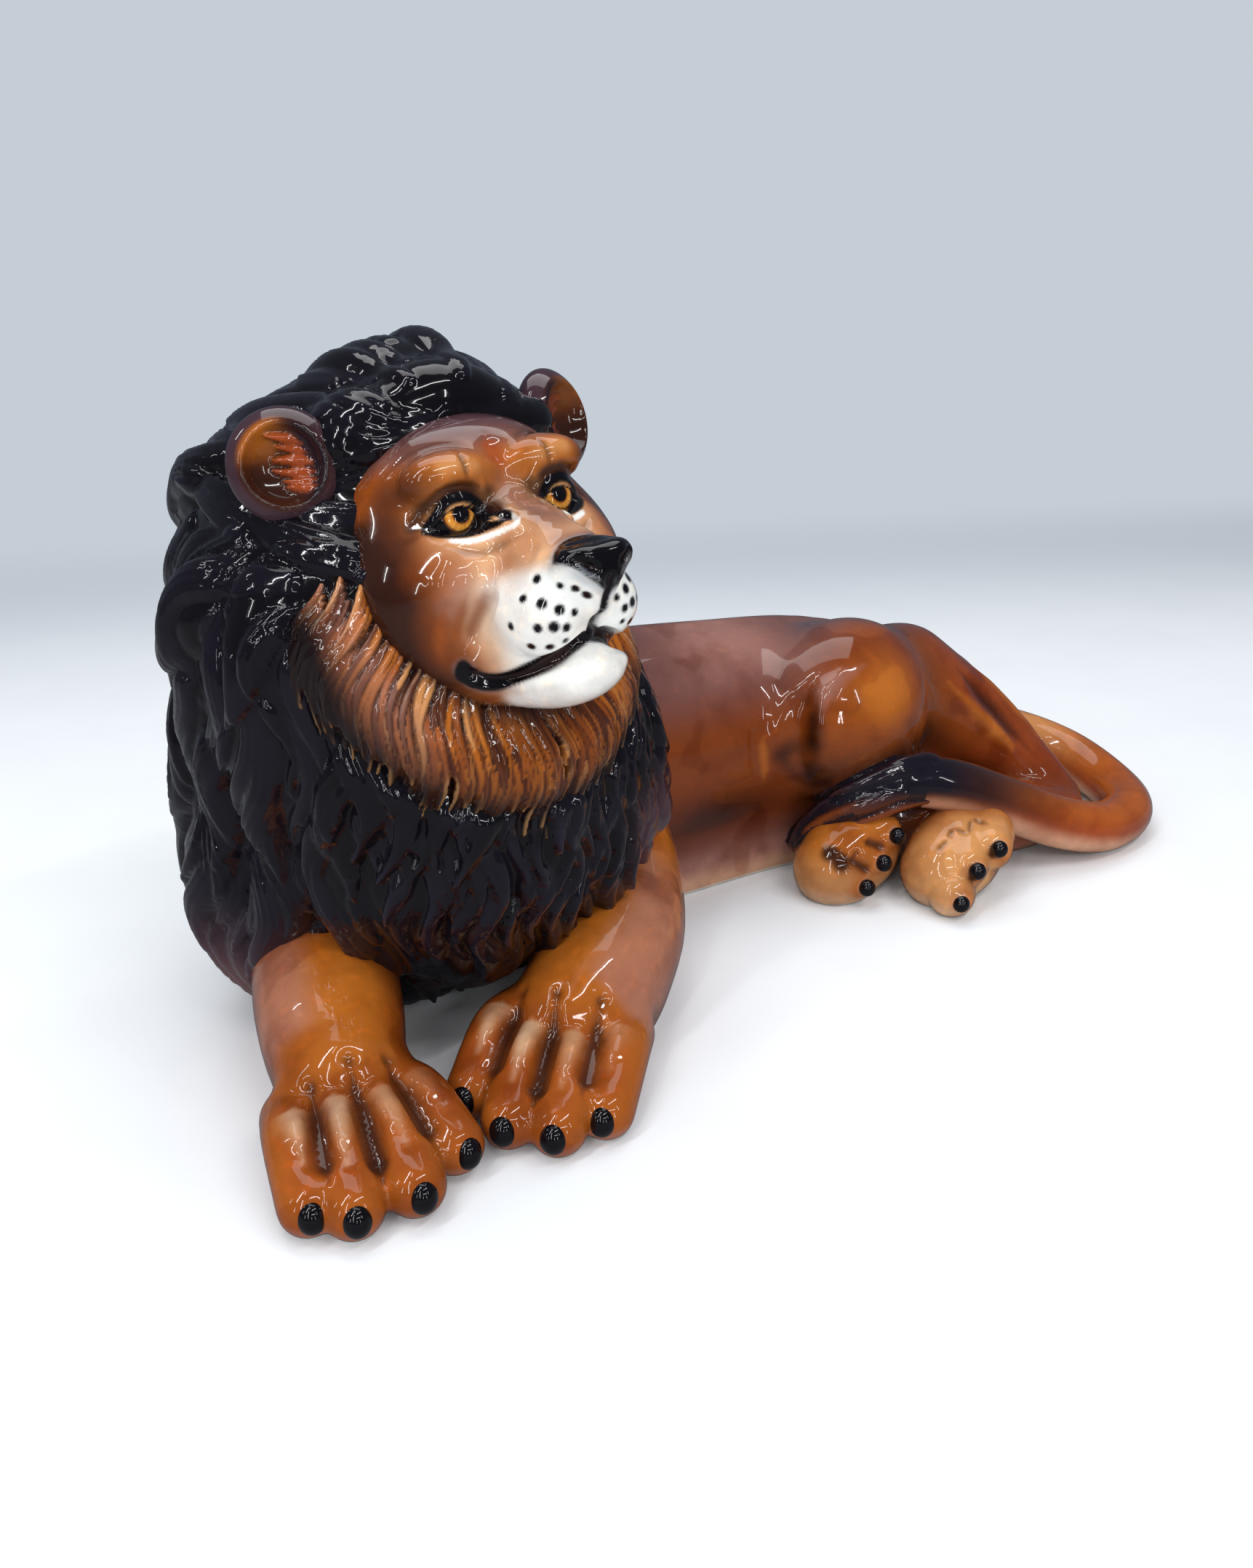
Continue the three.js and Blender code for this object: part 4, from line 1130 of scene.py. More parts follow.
    def spots(self, skin: Skin, side: int) -> None:
        """Paint the whisker spots of one pad."""
        drift = 1.2 if side < 0 else 0.0
        for wide, high, radius in self.spot_places:
            centre = HEAD.course([(wide + drift, 96.0, high - drift)], side)
            skin.line(Pot.GREY, centre, radius + 1.8, 0.55)
            skin.line(Pot.BLACK, centre, radius + 0.8, 1.0, 0.0, 0.6)

    def eye(self, side: int) -> bpy.types.Object:
        """Model one painted eye: a dark ball with an amber ring round the pupil, darker at its top as painted
        shadow of the upper lid.
        """
        x, y, z = self.eye_place
        radius = self.eye_radius
        ball = oval(HEAD.on(side * x, y, z), (radius, radius, radius), HEAD.turned, 96, 64)
        skin = Skin(joined([ball], "left_eye" if side > 0 else "right_eye"))
        local = self.from_eye(skin, side) / radius
        aside = np.arccos(np.clip(local @ unit((side * 0.02, 1.0, 0.02)), -1.0, 1.0)) * radius
        angle = np.arctan2(local[:, 2], local[:, 0])
        rays = 0.5 + 0.5 * np.sin(angle * 23.0 + np.sin(angle * 7.0) * 2.0)
        # painted shadow of the upper lid: the ring's colours are laid weaker toward its top
        low = band(local[:, 2], 0.45, -0.15)
        ring = band(aside, 7.8, 6.8) * band(aside, 4.0, 5.2)
        skin.colour[:] = Pot.BLACK.linear
        skin.coats(
            (Pot.AMBER, band(aside, 8.3, 7.6) * band(aside, 3.7, 4.3) * (0.45 + 0.55 * low)),
            (Pot.IRIS, ring * (0.4 + 0.45 * rays) * (0.25 + 0.75 * low)),
            (Pot.UMBER, band(aside, 8.5, 7.9) * band(aside, 6.8, 7.6) * 0.8),
        )
        return dress(skin, Glaze("eye_glaze", mottling=0.0, waviness=0.0, gloss=0.04), Slot.FACE)

    def build(self) -> None:
        """Build the head and its eyes."""
        face = self.clay().pressed(HEAD.course([(0, 2, 8), (0, 44, -6), (0, 76, -26)]), 7)
        skin = fused([face, *self.lids(-1), *self.lids(1)], "head", self.grain)
        skin.press = -HEAD.axes[:, 1]
        skin.sponge(3)
        self.carve(skin)
        skin.sponge(2)
        self.colour(skin)
        skin.measure_relief(12, 1.2)
        glaze = Glaze("face_glaze", pooling=Pot.DARK_BROWN, pooling_strength=0.6, mottling=0.6, patches=0.18)
        dress(skin, glaze, Slot.FACE, "head")
        self.eye(-1)
        self.eye(1)


@dataclass(frozen=True)
class Lock:
    """The size and the wave of a kind of hair lock."""

    length: float
    width: float
    height: float
    wave: float = 0.35
    wave_length: float = 90.0
    ridges: float = 2.0
    ridge_depth: float = 0.12
    lift: float = 0.0
    unevenness: float = 1.2
    lean: float = 0.25
    root_width: float = 0.55
    root_height: float = 0.3


@dataclass
class Combed:
    """Hair on a skin: at each vertex its height, its lock's number, the place across it and its tint."""

    height: Array
    owner: Array
    aside: Array
    tone: Array

    @classmethod
    def bare(cls, count: int) -> "Combed":
        """Return a skin without hair."""
        return cls(np.zeros(count), np.full(count, -1), np.zeros(count), np.zeros(count))


class Comb:
    """Draws tapered locks over a form, each along the hair's own flow."""

    STEPS = 16
    WAVE_AXIS = np.array([0.0, 0.6, -1.0])
    ROOT_SHARE = 0.3
    RISE_SHARE = 0.45
    TIP_SHARE = 0.55
    TIP_POWER = 0.65

    def __init__(self, form: Clay, flow: Callable[[Array], Array], swell: float, seed: int) -> None:
        """Keep the form, the flow of the hair, how far above the form it lies and the seed of its chance."""
        self.form = form
        self.flow = flow
        self.swell = swell
        self.chance = np.random.default_rng(seed)

    def courses(self, roots: Array, lock: Lock) -> tuple[Array, Array]:
        """Run each lock's course over the form.

        Args:
            roots: Where the locks start.
            lock: Their size and wave.

        Returns:
            The courses' places and their sideways directions.
        """
        count, steps = len(roots), self.STEPS
        vary = 1.0 if lock.unevenness > 0.0 else 0.0
        stride = lock.length * (1.0 + vary * self.chance.uniform(-0.18, 0.18, count)) / (steps - 1)
        turn = vary * self.chance.uniform(-0.5, 0.5, count)
        places = np.empty((count, steps, 3))
        asides = np.empty_like(places)
        here = self.form.land(roots, self.swell)
        for step in range(steps):
            out = self.form.out(here)
            flow = self.flow(here)
            flow = unit_rows(flow - (flow * out).sum(1, keepdims=True) * out)
            aside = np.cross(flow, out)
            swing = lock.wave * np.sin(turn + (here @ self.WAVE_AXIS) * 2.0 * math.pi / lock.wave_length)
            heading = unit_rows(flow + aside * swing[:, None])
            places[:, step] = here
            asides[:, step] = unit_rows(np.cross(heading, out))
            here = self.form.land(here + heading * stride[:, None], self.swell, 1)
        return places, asides

    def combed(self, places: Array, roots: Array, lock: Lock) -> Combed:
        """Work out how high the locks from the given roots stand at each place of a skin.

        Args:
            places: The skin's places before any hair is raised.
            roots: Where the locks start.
            lock: Their size and wave.

        Returns:
            The height and the uppermost lock at each place.
        """
        lines, asides = self.courses(roots, lock)
        vary = self.chance.uniform(-0.2, 0.2, len(roots)) if lock.unevenness > 0.0 else np.zeros(len(roots))
        size = 1.0 + vary
        lifts = lock.lift + self.chance.uniform(0.0, lock.unevenness, len(roots))
        hair = Combed.bare(len(places))
        order = np.argsort(places[:, 2])
        heights = places[order, 2]
        for number, line in enumerate(lines):
            reach = lock.width / 2.0 * size[number]
            low, high = line.min(0) - reach, line.max(0) + reach
            first, last = np.searchsorted(heights, (low[2], high[2]))
            near = order[first:last]
            near = near[((places[near, :2] > low[:2]) & (places[near, :2] < high[:2])).all(1)]
            if not len(near):
                continue
            gap, along = gap_to_course(places[near], line)
            close = gap < reach
            near, gap, along = near[close], gap[close], along[close]
            station = np.rint(along * (self.STEPS - 1)).astype(int)
            side = np.sign(((places[near] - line[station]) * asides[number][station]).sum(1))
            tip = np.power(np.clip((1.0 - along) / self.TIP_SHARE, 0.0, 1.0), self.TIP_POWER)
            girth = (lock.root_width + (1.0 - lock.root_width) * eased(along / self.ROOT_SHARE)) * tip
            across = gap / np.maximum(reach * girth, 0.01)
            round_top = np.sqrt(np.clip(1.0 - across**2, 0.0, 1.0))
            rise = lock.root_height + (1.0 - lock.root_height) * eased(along / self.RISE_SHARE)
            comb = np.cos(math.pi * (lock.ridges * 2.0 + 1.0) * across * side)
            comb_line = 1.0 - lock.ridge_depth * (0.5 + 0.5 * comb)
            tilt = 1.0 + lock.lean * across * side
            own = lock.height * size[number] * rise * round_top * comb_line * tilt
            own += lifts[number] * np.minimum(1.0, round_top * 2.5) * np.minimum(1.0, rise)
            upper = (own > hair.height[near]) & (round_top > 0.0)
            chosen = near[upper]
            hair.height[chosen] = own[upper]
            hair.owner[chosen] = number
            hair.aside[chosen] = (across * side)[upper]
        return hair

    def layered(self, places: Array, kinds: Iterable[tuple[Array, Lock]]) -> Combed:
        """Lay kinds of hair over each other, where each lock gets its tint by chance.

        Args:
            places: The skin's places before any hair is raised.
            kinds: The roots and the lock of each kind, the lowest first.

        Returns:
            The hair that is uppermost at each place.
        """
        hair = Combed.bare(len(places))
        for roots, lock in kinds:
            laid = self.combed(places, roots, lock)
            laid.tone = self.chance.random(len(roots))[laid.owner]
            upper = laid.height > hair.height
            for name in ("height", "aside", "tone"):
                getattr(hair, name)[upper] = getattr(laid, name)[upper]
        return hair


def spread(places: Array, spacing: Array, chance: np.random.Generator) -> Array:
    """Pick places that keep their own spacing from each other.

    Args:
        places: The places to pick from.
        spacing: The least distance round each of them.
        chance: The source of the order in which they are tried.

    Returns:
        The numbers of the picked places.
    """
    open_places = np.ones(len(places), bool)
    picked = []
    for i in chance.permutation(len(places)):
        if open_places[i]:
            picked.append(i)
            open_places &= np.linalg.norm(places - places[i], axis=1) > spacing[i]
    return np.array(picked)


def parted(
    piece: bpy.types.Object, names: Sequence[str], seams: Sequence[tuple[int, float]]
) -> list[bpy.types.Object]:
    """Part a finished piece along flat seams, so that each part stays closed.

    Args:
        piece: The piece, which is used up.
        names: The parts' names, one more than the seams.
        seams: The axis and the place of each seam; each one parts what the last one left above it.

    Returns:
        The parts.
    """
    rest = bmesh.new()
    rest.from_mesh(piece.data)
    parts = []
    for number, name in enumerate(names):
        body = rest.copy()
        cuts = [(*seams[number], 1.0)] if number < len(seams) else []
        cuts += [(*seam, -1.0) for seam in seams[:number]]
        for axis, place, sign in cuts:
            point, normal = np.zeros(3), np.zeros(3)
            point[axis], normal[axis] = place, sign
            filled = trimmed(body, point, normal)
            for face in filled:
                face.smooth = False
                for edge in face.edges:
                    edge.smooth = False
            bmesh.ops.triangulate(body, faces=filled)
        part = placed(name, meshed(body, name))
        part.data.materials.append(piece.data.materials[0])
        parts.append(part)
    rest.free()
    whole = piece.data
    bpy.data.objects.remove(piece)
    bpy.data.meshes.remove(whole)
    return parts


@dataclass
class Mane:
    """Neck and chest casting with its waves of hair."""

    under: float = -5.0
    grain: float = 1.25
    spine: Course = ((-222, 8, 90), (-218, -2, 270))
    clump: Lock = Lock(
        96.0, 36.0, 8.5, wave=0.4, wave_length=120.0, ridge_depth=0.0, unevenness=0.0, lean=0.0
    )
    lock: Lock = Lock(104.0, 17.0, 4.2, wave=0.55, wave_length=104.0, ridge_depth=0.17, unevenness=2.0)
    chest: Lock = Lock(40.0, 8.5, 3.6, wave=0.45, wave_length=56.0, ridges=1.0, unevenness=1.6)
    crown: Lock = Lock(
        170.0, 15.0, 5.4, wave=0.12, wave_length=140.0, unevenness=0.8, lean=0.1, root_width=0.5, ridges=3.0,
        ridge_depth=0.16,
    )
    fringe: Lock = Lock(60.0, 4.6, 2.0, wave=0.1, ridges=0.0, root_height=0.1, root_width=0.6)
    clump_spacing: float = 39.0
    clump_rows: Radii = (318.0, 260.0, 202.0, 144.0, 86.0)
    seams: tuple[tuple[int, float], ...] = ((0, -0.2195), (1, 0.0185))
    hairline: Course = (
        (-57, 4, 14), (-55, 8, 34), (-46, 20, 50), (-24, 32, 60), (0, 36, 63), (24, 32, 60), (46, 20, 50),
        (55, 8, 34), (57, 4, 14),
    )

    LUMPS = (
        ((-205, 0, 138), (97, 104, 107), 25), ((-250, 45, 126), (75, 75, 107), 25),
        ((-212, 82, 118), (75, 75, 107), 25), ((-222, 2, 212), (107, 100, 107), 30),
        ((-212, 4, 285), (61, 62, 68), 24), ((-246, 30, 258), (64, 64, 64), 24),
        ((-262, 40, 78), (62, 66, 62), 24), ((-152, -18, 128), (54, 62, 88), 24),
        ((-215, 42, 50), (85, 66, 60), 24),
    )
    FOREHEAD_WAVE = ((-40, 8, 58), (-24, 16, 68), (0, 20, 73), (24, 16, 68), (40, 8, 58))
    MIDDLE = (-208.5, 2.0)
    ROW_START = 90.0

    def clay(self) -> Clay:
        """Press chest, flanks, neck, crown, shoulders and the hair's front wave together."""
        wave = Roll(HEAD.course(self.FOREHEAD_WAVE), (14, 17, 20, 17, 14), 16)
        return Clay(*(Lump(*lump) for lump in self.LUMPS), wave)

    @staticmethod
    def flow(places: Array) -> Array:
        """Return the way that the hair runs: back from the face, then down."""
        local = HEAD.of(places)
        away = unit_rows(local * np.array([1.0, 0.0, 1.0])) @ HEAD.axes.T
        back = -HEAD.axes[:, 1] * np.array([1.0, 1.0, 0.0])
        down = np.array([0.0, 0.0, -1.0])
        high = band(places[:, 2], 190.0, 290.0)[:, None]
        return (0.2 + 0.9 * high) * back + (1.0 - 0.6 * high) * down + 0.45 * high * away

    @staticmethod
    def in_front(places: Array) -> Array:
        """Return how much each place belongs to the chest below the face, from 0 to 1."""
        return band(HEAD.of(places)[:, 1], -30.0, 10.0) * band(places[:, 2], 215.0, 185.0)

    def clump_roots(self, form: Clay) -> Array:
        """Return the starts of the large waves, in staggered rows round the mane."""
        x, y = self.MIDDLE
        roots = []
        for number, height in enumerate(self.clump_rows):
            radius = 65.0 + (99.0 - 65.0) * min(1.0, number / 3.0)
            count = round(2.0 * math.pi * radius / self.clump_spacing)
            angle = (np.arange(count) + 0.5 * (number % 2)) * 2.0 * math.pi / count
            across, ahead = self.ROW_START * np.cos(angle), self.ROW_START * np.sin(angle)
            roots.append(np.stack([x + across, y + ahead, np.full(count, height)], 1))
        return form.land(np.vstack(roots), self.under, 8)

    def roots(self, form: Clay, chance: np.random.Generator) -> tuple[Array, Array, Array]:
        """Choose where locks start, and sort them into crown, side and chest hair."""
        blank = form.pressed(self.spine, 6, self.under)
        places = np.array([vertex.co for vertex in blank.verts], float)
        blank.free()
        places = places[places[:, 2] > 16.0]
        front = self.in_front(places)
        top = HEAD.of(places)[:, 2] > 58.0
        spacing = np.where(top, 17.0, 21.0 - 11.5 * front)
        picked = spread(places, spacing, chance)
        places, front, top = places[picked], front[picked], top[picked]
        return places[top], places[(front < 0.5) & ~top], places[(front >= 0.5) & ~top]

    def colour(self, skin: Skin, tone: Array) -> None:
        """Paint the mane near black, with mauve patches at the shoulders."""
        x, y, z = skin.places.T
        skin.colour[:] = Pot.BLACK.linear
        skin.coats(
            (Pot.NIGHT, tone * 0.8),
            (Pot.DARK_MAUVE, band(z, 95, 40) * band(x, -265, -300) * 0.7),
            (Pot.MAUVE, band(z, 60, 22) * band(x, -262, -296) * 0.6),
            (Pot.DARK_MAUVE, band(z, 150, 110) * band(x, -150, -118) * band(y, 0, -40) * 0.8),
            (Pot.DARK_BROWN, band(z, 60, 30) * band(y, -20, -60) * 0.7),
        )

    def build(self) -> None:
        """Build the mane in three closed parts."""
        form = self.clay()
        comb = Comb(form, self.flow, self.under, 7)
        crown, side, chest = self.roots(form, comb.chance)
        LOG.info("mane roots: crown %d, side %d, chest %d", len(crown), len(side), len(chest))
        skin = fused([form.pressed(self.spine, 7, self.under)], "mane", self.grain)
        skin.sponge(4)
        base = skin.places.copy()
        out = skin.out(4)
        local = HEAD.of(base)
        top = band(local[:, 2], 66.0, 92.0)
        waves = comb.combed(base, self.clump_roots(form), self.clump).height
        waves = waves * (1.0 - 0.6 * self.in_front(base)) * (1.0 - 0.85 * top)
        ruff = band(Ruff().share(base), 1.05, 0.8)
        ruff = ruff * band(local[:, 1], -26.0, -16.0) * band(local[:, 2], 4.0, -8.0)
        fringe = HEAD.course(flowing(self.hairline, 9))
        kinds = ((side, self.lock), (crown, self.crown), (chest, self.chest), (fringe, self.fringe))
        hair = comb.layered(base, kinds)
        skin.places += out * ((waves + hair.height) * (1.0 - 0.9 * ruff))[:, None]
        skin.sponge(1)
        skin.stand()
        self.colour(skin, hair.tone)
        skin.measure_relief(16, 2.6)
        # painted blue-black sheen on the ridges of the hair
        shades = {"pooling": Pot.BLACK, "painted_sheen": Pot.BLUE_BLACK, "painted_sheen_strength": 0.35}
        glaze = Glaze("mane_glaze", mottling=0.2, **shades)
        whole = dress(skin, glaze, Slot.MANE)
        right, *others = parted(whole, ("mane_right", "mane_front", "mane_back"), self.seams)
        enlist(right, Slot.MANE, "mane")
        for part in others:
            enlist(part, Slot.MANE)


@dataclass
class Ruff:
    """Amber hair that frames the face from below the ears round under the chin."""

    grain: float = 0.95
    under: float = -3.0
    strand: Lock = Lock(
        42.0, 4.2, 1.5, wave=0.35, wave_length=58.0, ridges=0.0, ridge_depth=0.0, unevenness=1.0, lean=0.16
    )
    bunch: Lock = Lock(56.0, 16.0, 4.6, wave=0.35, wave_length=58.0, ridge_depth=0.0, root_width=0.7)
    rows: Course = (
        (-2.0, 3.0, 2.2), (7.0, 2.6, 2.3), (16.0, 2.2, 2.5), (25.0, 1.8, 2.7),
    )
    start: float = 174.0
    end: float = 346.0
    side_reach: float = 40.0
    chin_reach: float = 54.0

    FACE_WIDTH = 50.0
    FACE_HEIGHT = 54.0
    FACE_MIDDLE = -4.0

    def edge(self, degrees: Array, outset: float) -> Array:
        """Return places round the face's edge.

        Args:
            degrees: The angles, counted from the lion's left over the top.
            outset: How far outside the face's edge they lie.

        Returns:
            The places in the lion's frame.
        """
        angle = np.radians(degrees)
        across = (self.FACE_WIDTH + outset) * np.cos(angle)
        forward = 8.0 + 22.0 * np.clip(-np.sin(angle), 0.0, 1.0)
        high = self.FACE_MIDDLE + (self.FACE_HEIGHT + outset) * np.sin(angle)
        return HEAD.course(np.stack([across, forward, high], 1))

    @staticmethod
    def flow(places: Array) -> Array:
        """Return the way that the ruff runs: away from the face and down."""
        local = HEAD.of(places) - np.array([0.0, 0.0, Ruff.FACE_MIDDLE])
        away = unit_rows(local * np.array([1.0, 0.0, 1.0])) @ HEAD.axes.T
        return 0.55 * away + np.array([0.06, 0.0, -0.8])

    def strands(self, chance: np.random.Generator) -> Iterable[tuple[Array, Lock]]:
        """Choose the roots of one row of strands after the other, from the face outward."""
        for outset, lift, spacing in self.rows:
            count = round((self.FACE_WIDTH + outset) * math.radians(self.end - self.start) / spacing)
            angles = np.linspace(self.start, self.end, count) + chance.uniform(-1.5, 1.5, count)
            yield self.edge(angles, outset), replace(self.strand, lift=lift)

    def share(self, places: Array) -> Array:
        """Return how far each place lies from the face's edge toward the ruff's outer edge, from 0 to 1."""
        local = HEAD.of(places)
        across = local[:, 0] / self.FACE_WIDTH
        down = (local[:, 2] - self.FACE_MIDDLE) / self.FACE_HEIGHT
        reach = np.hypot(across, down)
        low = np.clip(-down / np.maximum(reach, 1e-6), 0.0, 1.0)
        return (reach - 1.0) * 52.0 / (self.side_reach + (self.chin_reach - self.side_reach) * low)

    def colour(self, skin: Skin, hair: Combed) -> None:
        """Paint dark roots, amber lengths and ends that darken to black."""
        share = self.share(skin.places)
        local = HEAD.of(skin.places)
        middle = band(np.abs(local[:, 0] - 4.0), 44, 6) * band(local[:, 2], -40, -70)
        skin.colour[:] = Pot.AMBER.linear
        skin.coats(
            (Pot.TAN, band(hair.tone, 0.2, 0.0) * 0.6),
            (Pot.SIENNA, band(hair.tone, 0.35, 0.65) * 0.85),
            (Pot.UMBER, band(hair.tone, 0.62, 0.85) * 0.9),
            (Pot.ROSE, band(local[:, 0], -44, -62) * band(share, 0.3, 0.6) * 0.35),
            (Pot.DARK_BROWN, band(np.abs(hair.aside), 0.3, 0.85) * 0.8),
            (Pot.DARK_BROWN, band(share, 0.36, 0.12) * 0.95),
            (Pot.DARK_BROWN, middle * band(share, 0.75, 0.2) * 0.6),
            (Pot.UMBER, band(share, 0.5, 0.85) * 0.6),
            (Pot.BLACK, band(share, 0.74, 1.0) * 0.96),
            (Pot.BLACK, hair.height <= 0.0),
        )

    def build(self) -> None:
        """Build the ruff in one piece."""
        form = Mane().clay()
        comb = Comb(form, self.flow, self.under, 21)
        body = form.pressed(Mane.spine, 7, self.under)
        trimmed(body, HEAD.on(0, -24, 0), -HEAD.axes[:, 1])
        trimmed(body, HEAD.on(0, 0, 56), HEAD.axes[:, 2])
        trimmed(body, HEAD.on(0, 0, -128), -HEAD.axes[:, 2])
        skin = fused([body], "ruff", self.grain)
        skin.sponge(3)
        base = skin.places.copy()
        out = skin.out(4)
        bunches = comb.combed(base, self.edge(np.linspace(self.start, self.end, 30), 6.0), self.bunch)
        hair = comb.layered(base, self.strands(comb.chance))
        inside = 0.35 + 0.65 * band(self.share(base), 1.1, 0.75)
        skin.places += out * ((hair.height + bunches.height * (hair.height > 0.0)) * inside)[:, None]
        skin.sponge(1)
        self.colour(skin, hair)
        skin.measure_relief(12, 1.8)
        # painted tan highlight on the ridges of the strands
        shades = {"pooling": Pot.DARK_BROWN, "pooling_strength": 1.0, "painted_sheen": Pot.TAN, "painted_sheen_strength": 0.3}
        dress(skin, Glaze("ruff_glaze", mottling=0.6, **shades), Slot.MANE)


@dataclass
class Ear:
    """A pressed cup of clay with a thick rolled rim."""

    spacing: float = 138.0
    rise: float = 57.0
    radii: Place = (24.0, 12.0, 24.5)
    rim: float = 6.5
    cup: float = 14.5
    grain: float = 0.9
    hair: Lock = Lock(
        17.0, 5.0, 2.8, wave=0.25, wave_length=30.0, ridges=0.0, ridge_depth=0.0, unevenness=0.4, lean=0.1
    )

    def build(self) -> None:
        """Build both ears."""
        self.ear(-1)
        self.ear(1)

    def ear(self, side: int) -> None:
        """Build one ear, with strands of hair at the front of its cup."""
        turn = HEAD.turned @ turn_about("Z", 25.0 * side)
        axes = turn @ OUT_OF_FACE
        centre = HEAD.on(side * self.spacing / 2, 3, self.rise)
        root = Roll([centre, centre + axes @ (0, -14, -6)], (12, 12), 12)
        shell = Clay(Lump(centre, self.radii, 1, turn), root)
        cup_radii = (self.radii[0] - self.rim, self.cup, self.radii[2] - self.rim)
        hollow = Lump(centre + axes @ (0.0, self.radii[1] + 2.0, -1.0), cup_radii, 1, turn)
        body = shell.pressed([centre + axes @ (0, -6, -2), centre + axes @ (0, -5, 2)], 6, furthest=60.0)
        scoop = oval(hollow.centre, hollow.radii, turn, 48, 32)
        name = "left_ear" if side > 0 else "right_ear"
        skin = fused([self.scooped(body, scoop)], name, self.grain)
        skin.sponge(4)
        local = (skin.places - centre) @ axes
        round_ear = np.hypot(local[:, 0] / self.radii[0], local[:, 2] / self.radii[2])
        cup = band(round_ear, 0.84, 0.7) * band(local[:, 1], -3, 0)
        front = -side

        def fan(places: Array) -> Array:
            """Return the one way that the strands run."""
            return np.tile(axes @ unit((-0.9 * front, -0.1, 0.4)), (len(places), 1))

        starts = [centre + axes @ (front * (15.0 - 0.9 * row), 2.0, -15.0 + 4.6 * row) for row in range(6)]
        strands = Comb(Clay(hollow), fan, 0.0, 3).combed(skin.places.copy(), np.array(starts), self.hair)
        skin.places += skin.out(3) * (strands.height * cup)[:, None]
        skin.sponge(1)
        warmth = 1.0 if side < 0 else 0.45
        toward = local[:, 0] * front
        skin.colour[:] = Pot.DARK_MAUVE.linear
        skin.coats(
            (Pot.NIGHT, band(local[:, 1], 6, -6) * 0.5 + 0.35),
            (Pot.UMBER, cup),
            (Pot.AMBER, cup * band(local[:, 2], 0, 11) * band(toward, 8, -6) * 0.7 * warmth),
            (Pot.DARK_BROWN, cup * band(local[:, 2], 5, -5) * 0.9),
            (Pot.NIGHT, cup * band(toward, 0, 10) * 0.85),
            (Pot.RUST, band(strands.height, 0.4, 1.4) * cup * warmth * 0.85),
        )
        skin.measure_relief(10, 1.2)
        dress(skin, Glaze(name + "_glaze", pooling_strength=0.8, mottling=0.5), Slot.EAR, name)

    @staticmethod
    def scooped(body: bmesh.types.BMesh, scoop: bmesh.types.BMesh) -> bmesh.types.BMesh:
        """Take a scoop out of a body and return what is left."""
        objects = [placed("scoop", meshed(shape, "scoop")) for shape in (body, scoop)]
        cut = objects[0].modifiers.new("cup", "BOOLEAN")
        cut.operation = "DIFFERENCE"
        cut.solver = "EXACT"
        cut.object = objects[1]
        bpy.context.view_layer.update()
        left = bmesh.new()
        left.from_object(objects[0], bpy.context.evaluated_depsgraph_get())
        for held in objects:
            mesh = held.data
            bpy.data.objects.remove(held)
            bpy.data.meshes.remove(mesh)
        return left


